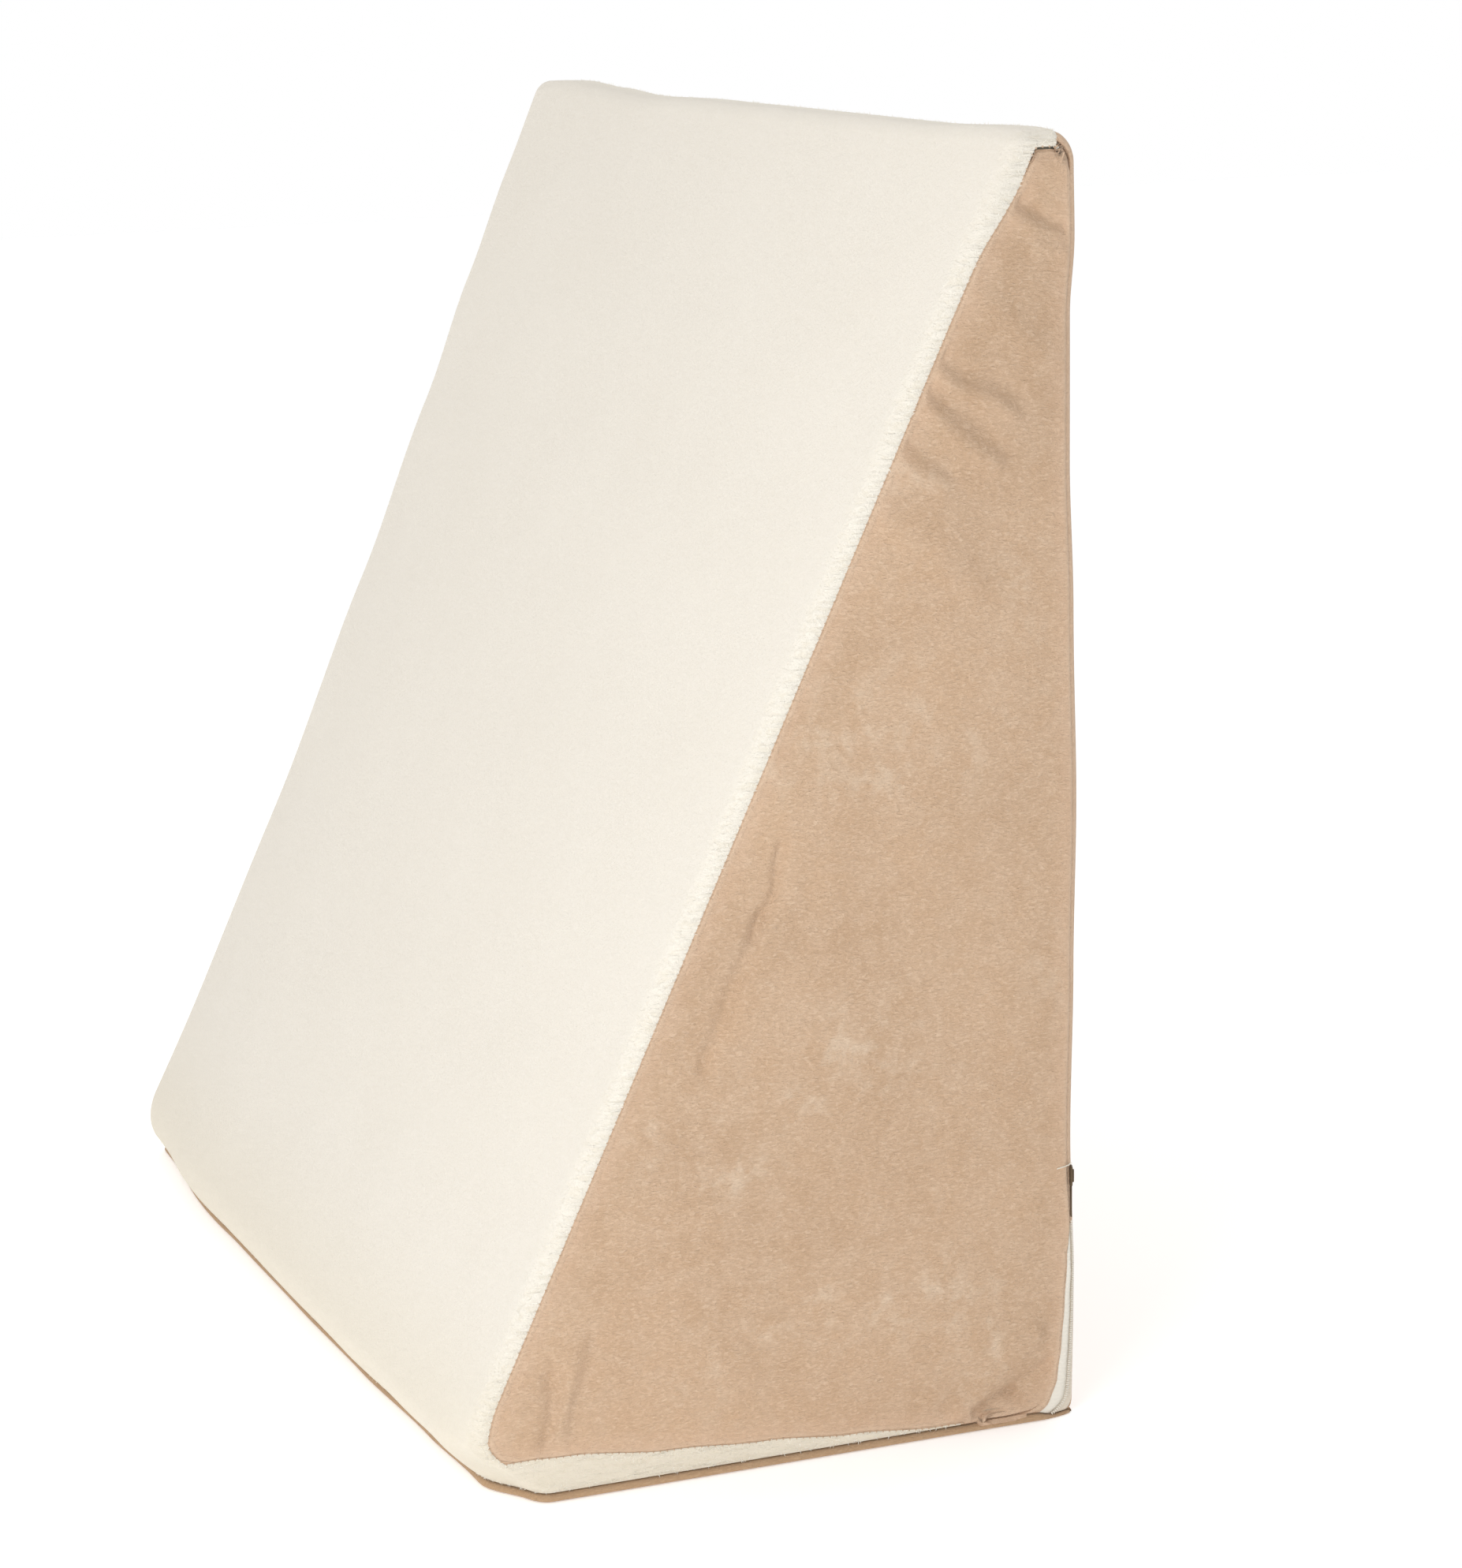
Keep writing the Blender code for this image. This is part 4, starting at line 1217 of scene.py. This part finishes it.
def fluffed(host, finish):
    """Stand fine three-sided fibres on a cloth, near its seams."""
    tree = bpy.data.node_groups.new("plush_fluff", "GeometryNodeTree")
    for way in ("INPUT", "OUTPUT"):
        tree.interface.new_socket("Geometry", in_out=way, socket_type="NodeSocketGeometry")
    given = tree.nodes.new("NodeGroupInput")
    result = tree.nodes.new("NodeGroupOutput")
    near = add_node(tree, "GeometryNodeInputNamedAttribute", data_type="FLOAT", Name="near_seam")
    chosen = add_node(tree, "FunctionNodeCompare", data_type="FLOAT", operation="LESS_THAN")
    chosen.inputs[1].default_value = FLUFF_REACH
    points = add_node(tree, "GeometryNodeDistributePointsOnFaces", distribute_method="RANDOM",
                      Density=FLUFF_PER_M2, Seed=FLUFF_SEED)
    fibre = add_node(tree, "GeometryNodeMeshCone", fill_type="NONE", Vertices=3, Side_Segments=1,
                     Radius_Top=0.0, Radius_Bottom=FLUFF_WIDE, Depth=FLUFF_LONG)
    lean = add_node(tree, "FunctionNodeRandomValue", data_type="FLOAT_VECTOR", Seed=FLUFF_SEED + 1)
    lean.inputs[0].default_value = (-FLUFF_TILT, -FLUFF_TILT, 0.0)
    lean.inputs[1].default_value = (FLUFF_TILT, FLUFF_TILT, pi)
    turn = add_node(tree, "FunctionNodeEulerToRotation")
    leaning = add_node(tree, "FunctionNodeRotateRotation", rotation_space="LOCAL")
    grow = add_node(tree, "FunctionNodeRandomValue", data_type="FLOAT", Seed=FLUFF_SEED + 2)
    grow.inputs[2].default_value = FLUFF_GROWN[0]
    grow.inputs[3].default_value = FLUFF_GROWN[1]
    stand = add_node(tree, "GeometryNodeInstanceOnPoints")
    real = add_node(tree, "GeometryNodeRealizeInstances")
    painted = add_node(tree, "GeometryNodeSetMaterial", Material=finish)
    for start, end in ((given.outputs[0], points.inputs["Mesh"]),
                       (near.outputs["Attribute"], chosen.inputs[0]),
                       (chosen.outputs["Result"], points.inputs["Selection"]),
                       (points.outputs["Points"], stand.inputs["Points"]),
                       (fibre.outputs["Mesh"], stand.inputs["Instance"]),
                       (lean.outputs[0], turn.inputs[0]),
                       (points.outputs["Rotation"], leaning.inputs["Rotation"]),
                       (turn.outputs[0], leaning.inputs["Rotate By"]),
                       (leaning.outputs[0], stand.inputs["Rotation"]),
                       (grow.outputs[1], stand.inputs["Scale"]),
                       (stand.outputs[0], real.inputs[0]),
                       (real.outputs[0], painted.inputs[0]),
                       (painted.outputs[0], result.inputs[0])):
        tree.links.new(start, end)
    ground = into_scene("fluff_ground", host)
    ground.modifiers.new("fluff", "NODES").node_group = tree
    shown = ground.evaluated_get(bpy.context.evaluated_depsgraph_get())
    mesh = bpy.data.meshes.new_from_object(shown)
    bpy.data.objects.remove(ground)
    mesh.name = "plush_fluff"
    return into_scene("plush_fluff", mesh)


fluff = fluffed(sleeping.data, plain_finish("cream_fluff", FLUFF_COLOUR, 0.95))
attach(fluff, "root")

# The stage.
# A wide pale floor in an even room that is whitest behind the pillow, and three soft lights.
FLOOR_SIZE = 14.0
FLOOR_COLOUR = (0.93, 0.93, 0.93, 1.0)
FLOOR_GLOW = 0.32
WHITE_WALL = (-0.92, 0.39, 0.0)
WHITE = (1.0, 1.0, 1.0, 1.0)
ROOM_LIGHT = 0.65
LIGHTS = rows_of("name place aim size watts",
    ("key", (1.0, -0.8, 0.7), (0.0, 0.0, 0.3), 0.5, 4.9),
    ("front_fill", (-0.4, -2.6, 1.6), (0.0, 0.0, 0.3), 1.4, 7.4),
    ("overhead", (0.0, 0.6, 2.0), (0.0, 0.0, 0.6), 1.2, 4.0),
)

floor_bm = bmesh.new()
bmesh.ops.create_grid(floor_bm, x_segments=1, y_segments=1, size=FLOOR_SIZE / 2)
floor_finish, floor_tree, floor_shader, floor_where = new_finish("floor")
floor_shader.inputs["Base Color"].default_value = FLOOR_COLOUR
floor_shader.inputs["Roughness"].default_value = 0.9
floor_shader.inputs["Emission Color"].default_value = WHITE
floor_shader.inputs["Emission Strength"].default_value = FLOOR_GLOW
floor = give_object("floor", floor_bm, [floor_finish])

bpy.context.scene.view_settings.view_transform = "Standard"
world = bpy.data.worlds.new("studio")
world.use_nodes = True
sky = world.node_tree
towards = add_node(sky, "ShaderNodeTexCoord")
facing_away = add_node(sky, "ShaderNodeVectorMath", operation="DOT_PRODUCT")
facing_away.inputs[1].default_value = WHITE_WALL
sky.links.new(towards.outputs["Generated"], facing_away.inputs[0])
wall = between(sky, facing_away.outputs["Value"], 0.1, 0.8, ROOM_LIGHT, 1.0)
sky.links.new(wall, sky.nodes["Background"].inputs["Strength"])
sky.nodes["Background"].inputs["Color"].default_value = WHITE
bpy.context.scene.world = world

for light in LIGHTS:
    panel_light = bpy.data.lights.new(light["name"], "AREA")
    panel_light.shape = "SQUARE"
    panel_light.size = light["size"]
    panel_light.energy = light["watts"]
    lamp = into_scene(light["name"], panel_light)
    look = (Vector(light["aim"]) - Vector(light["place"])).normalized()
    turned = look.to_track_quat("-Z", "Y").to_matrix().to_4x4()
    lamp.matrix_world = Matrix.Translation(light["place"]) @ turned
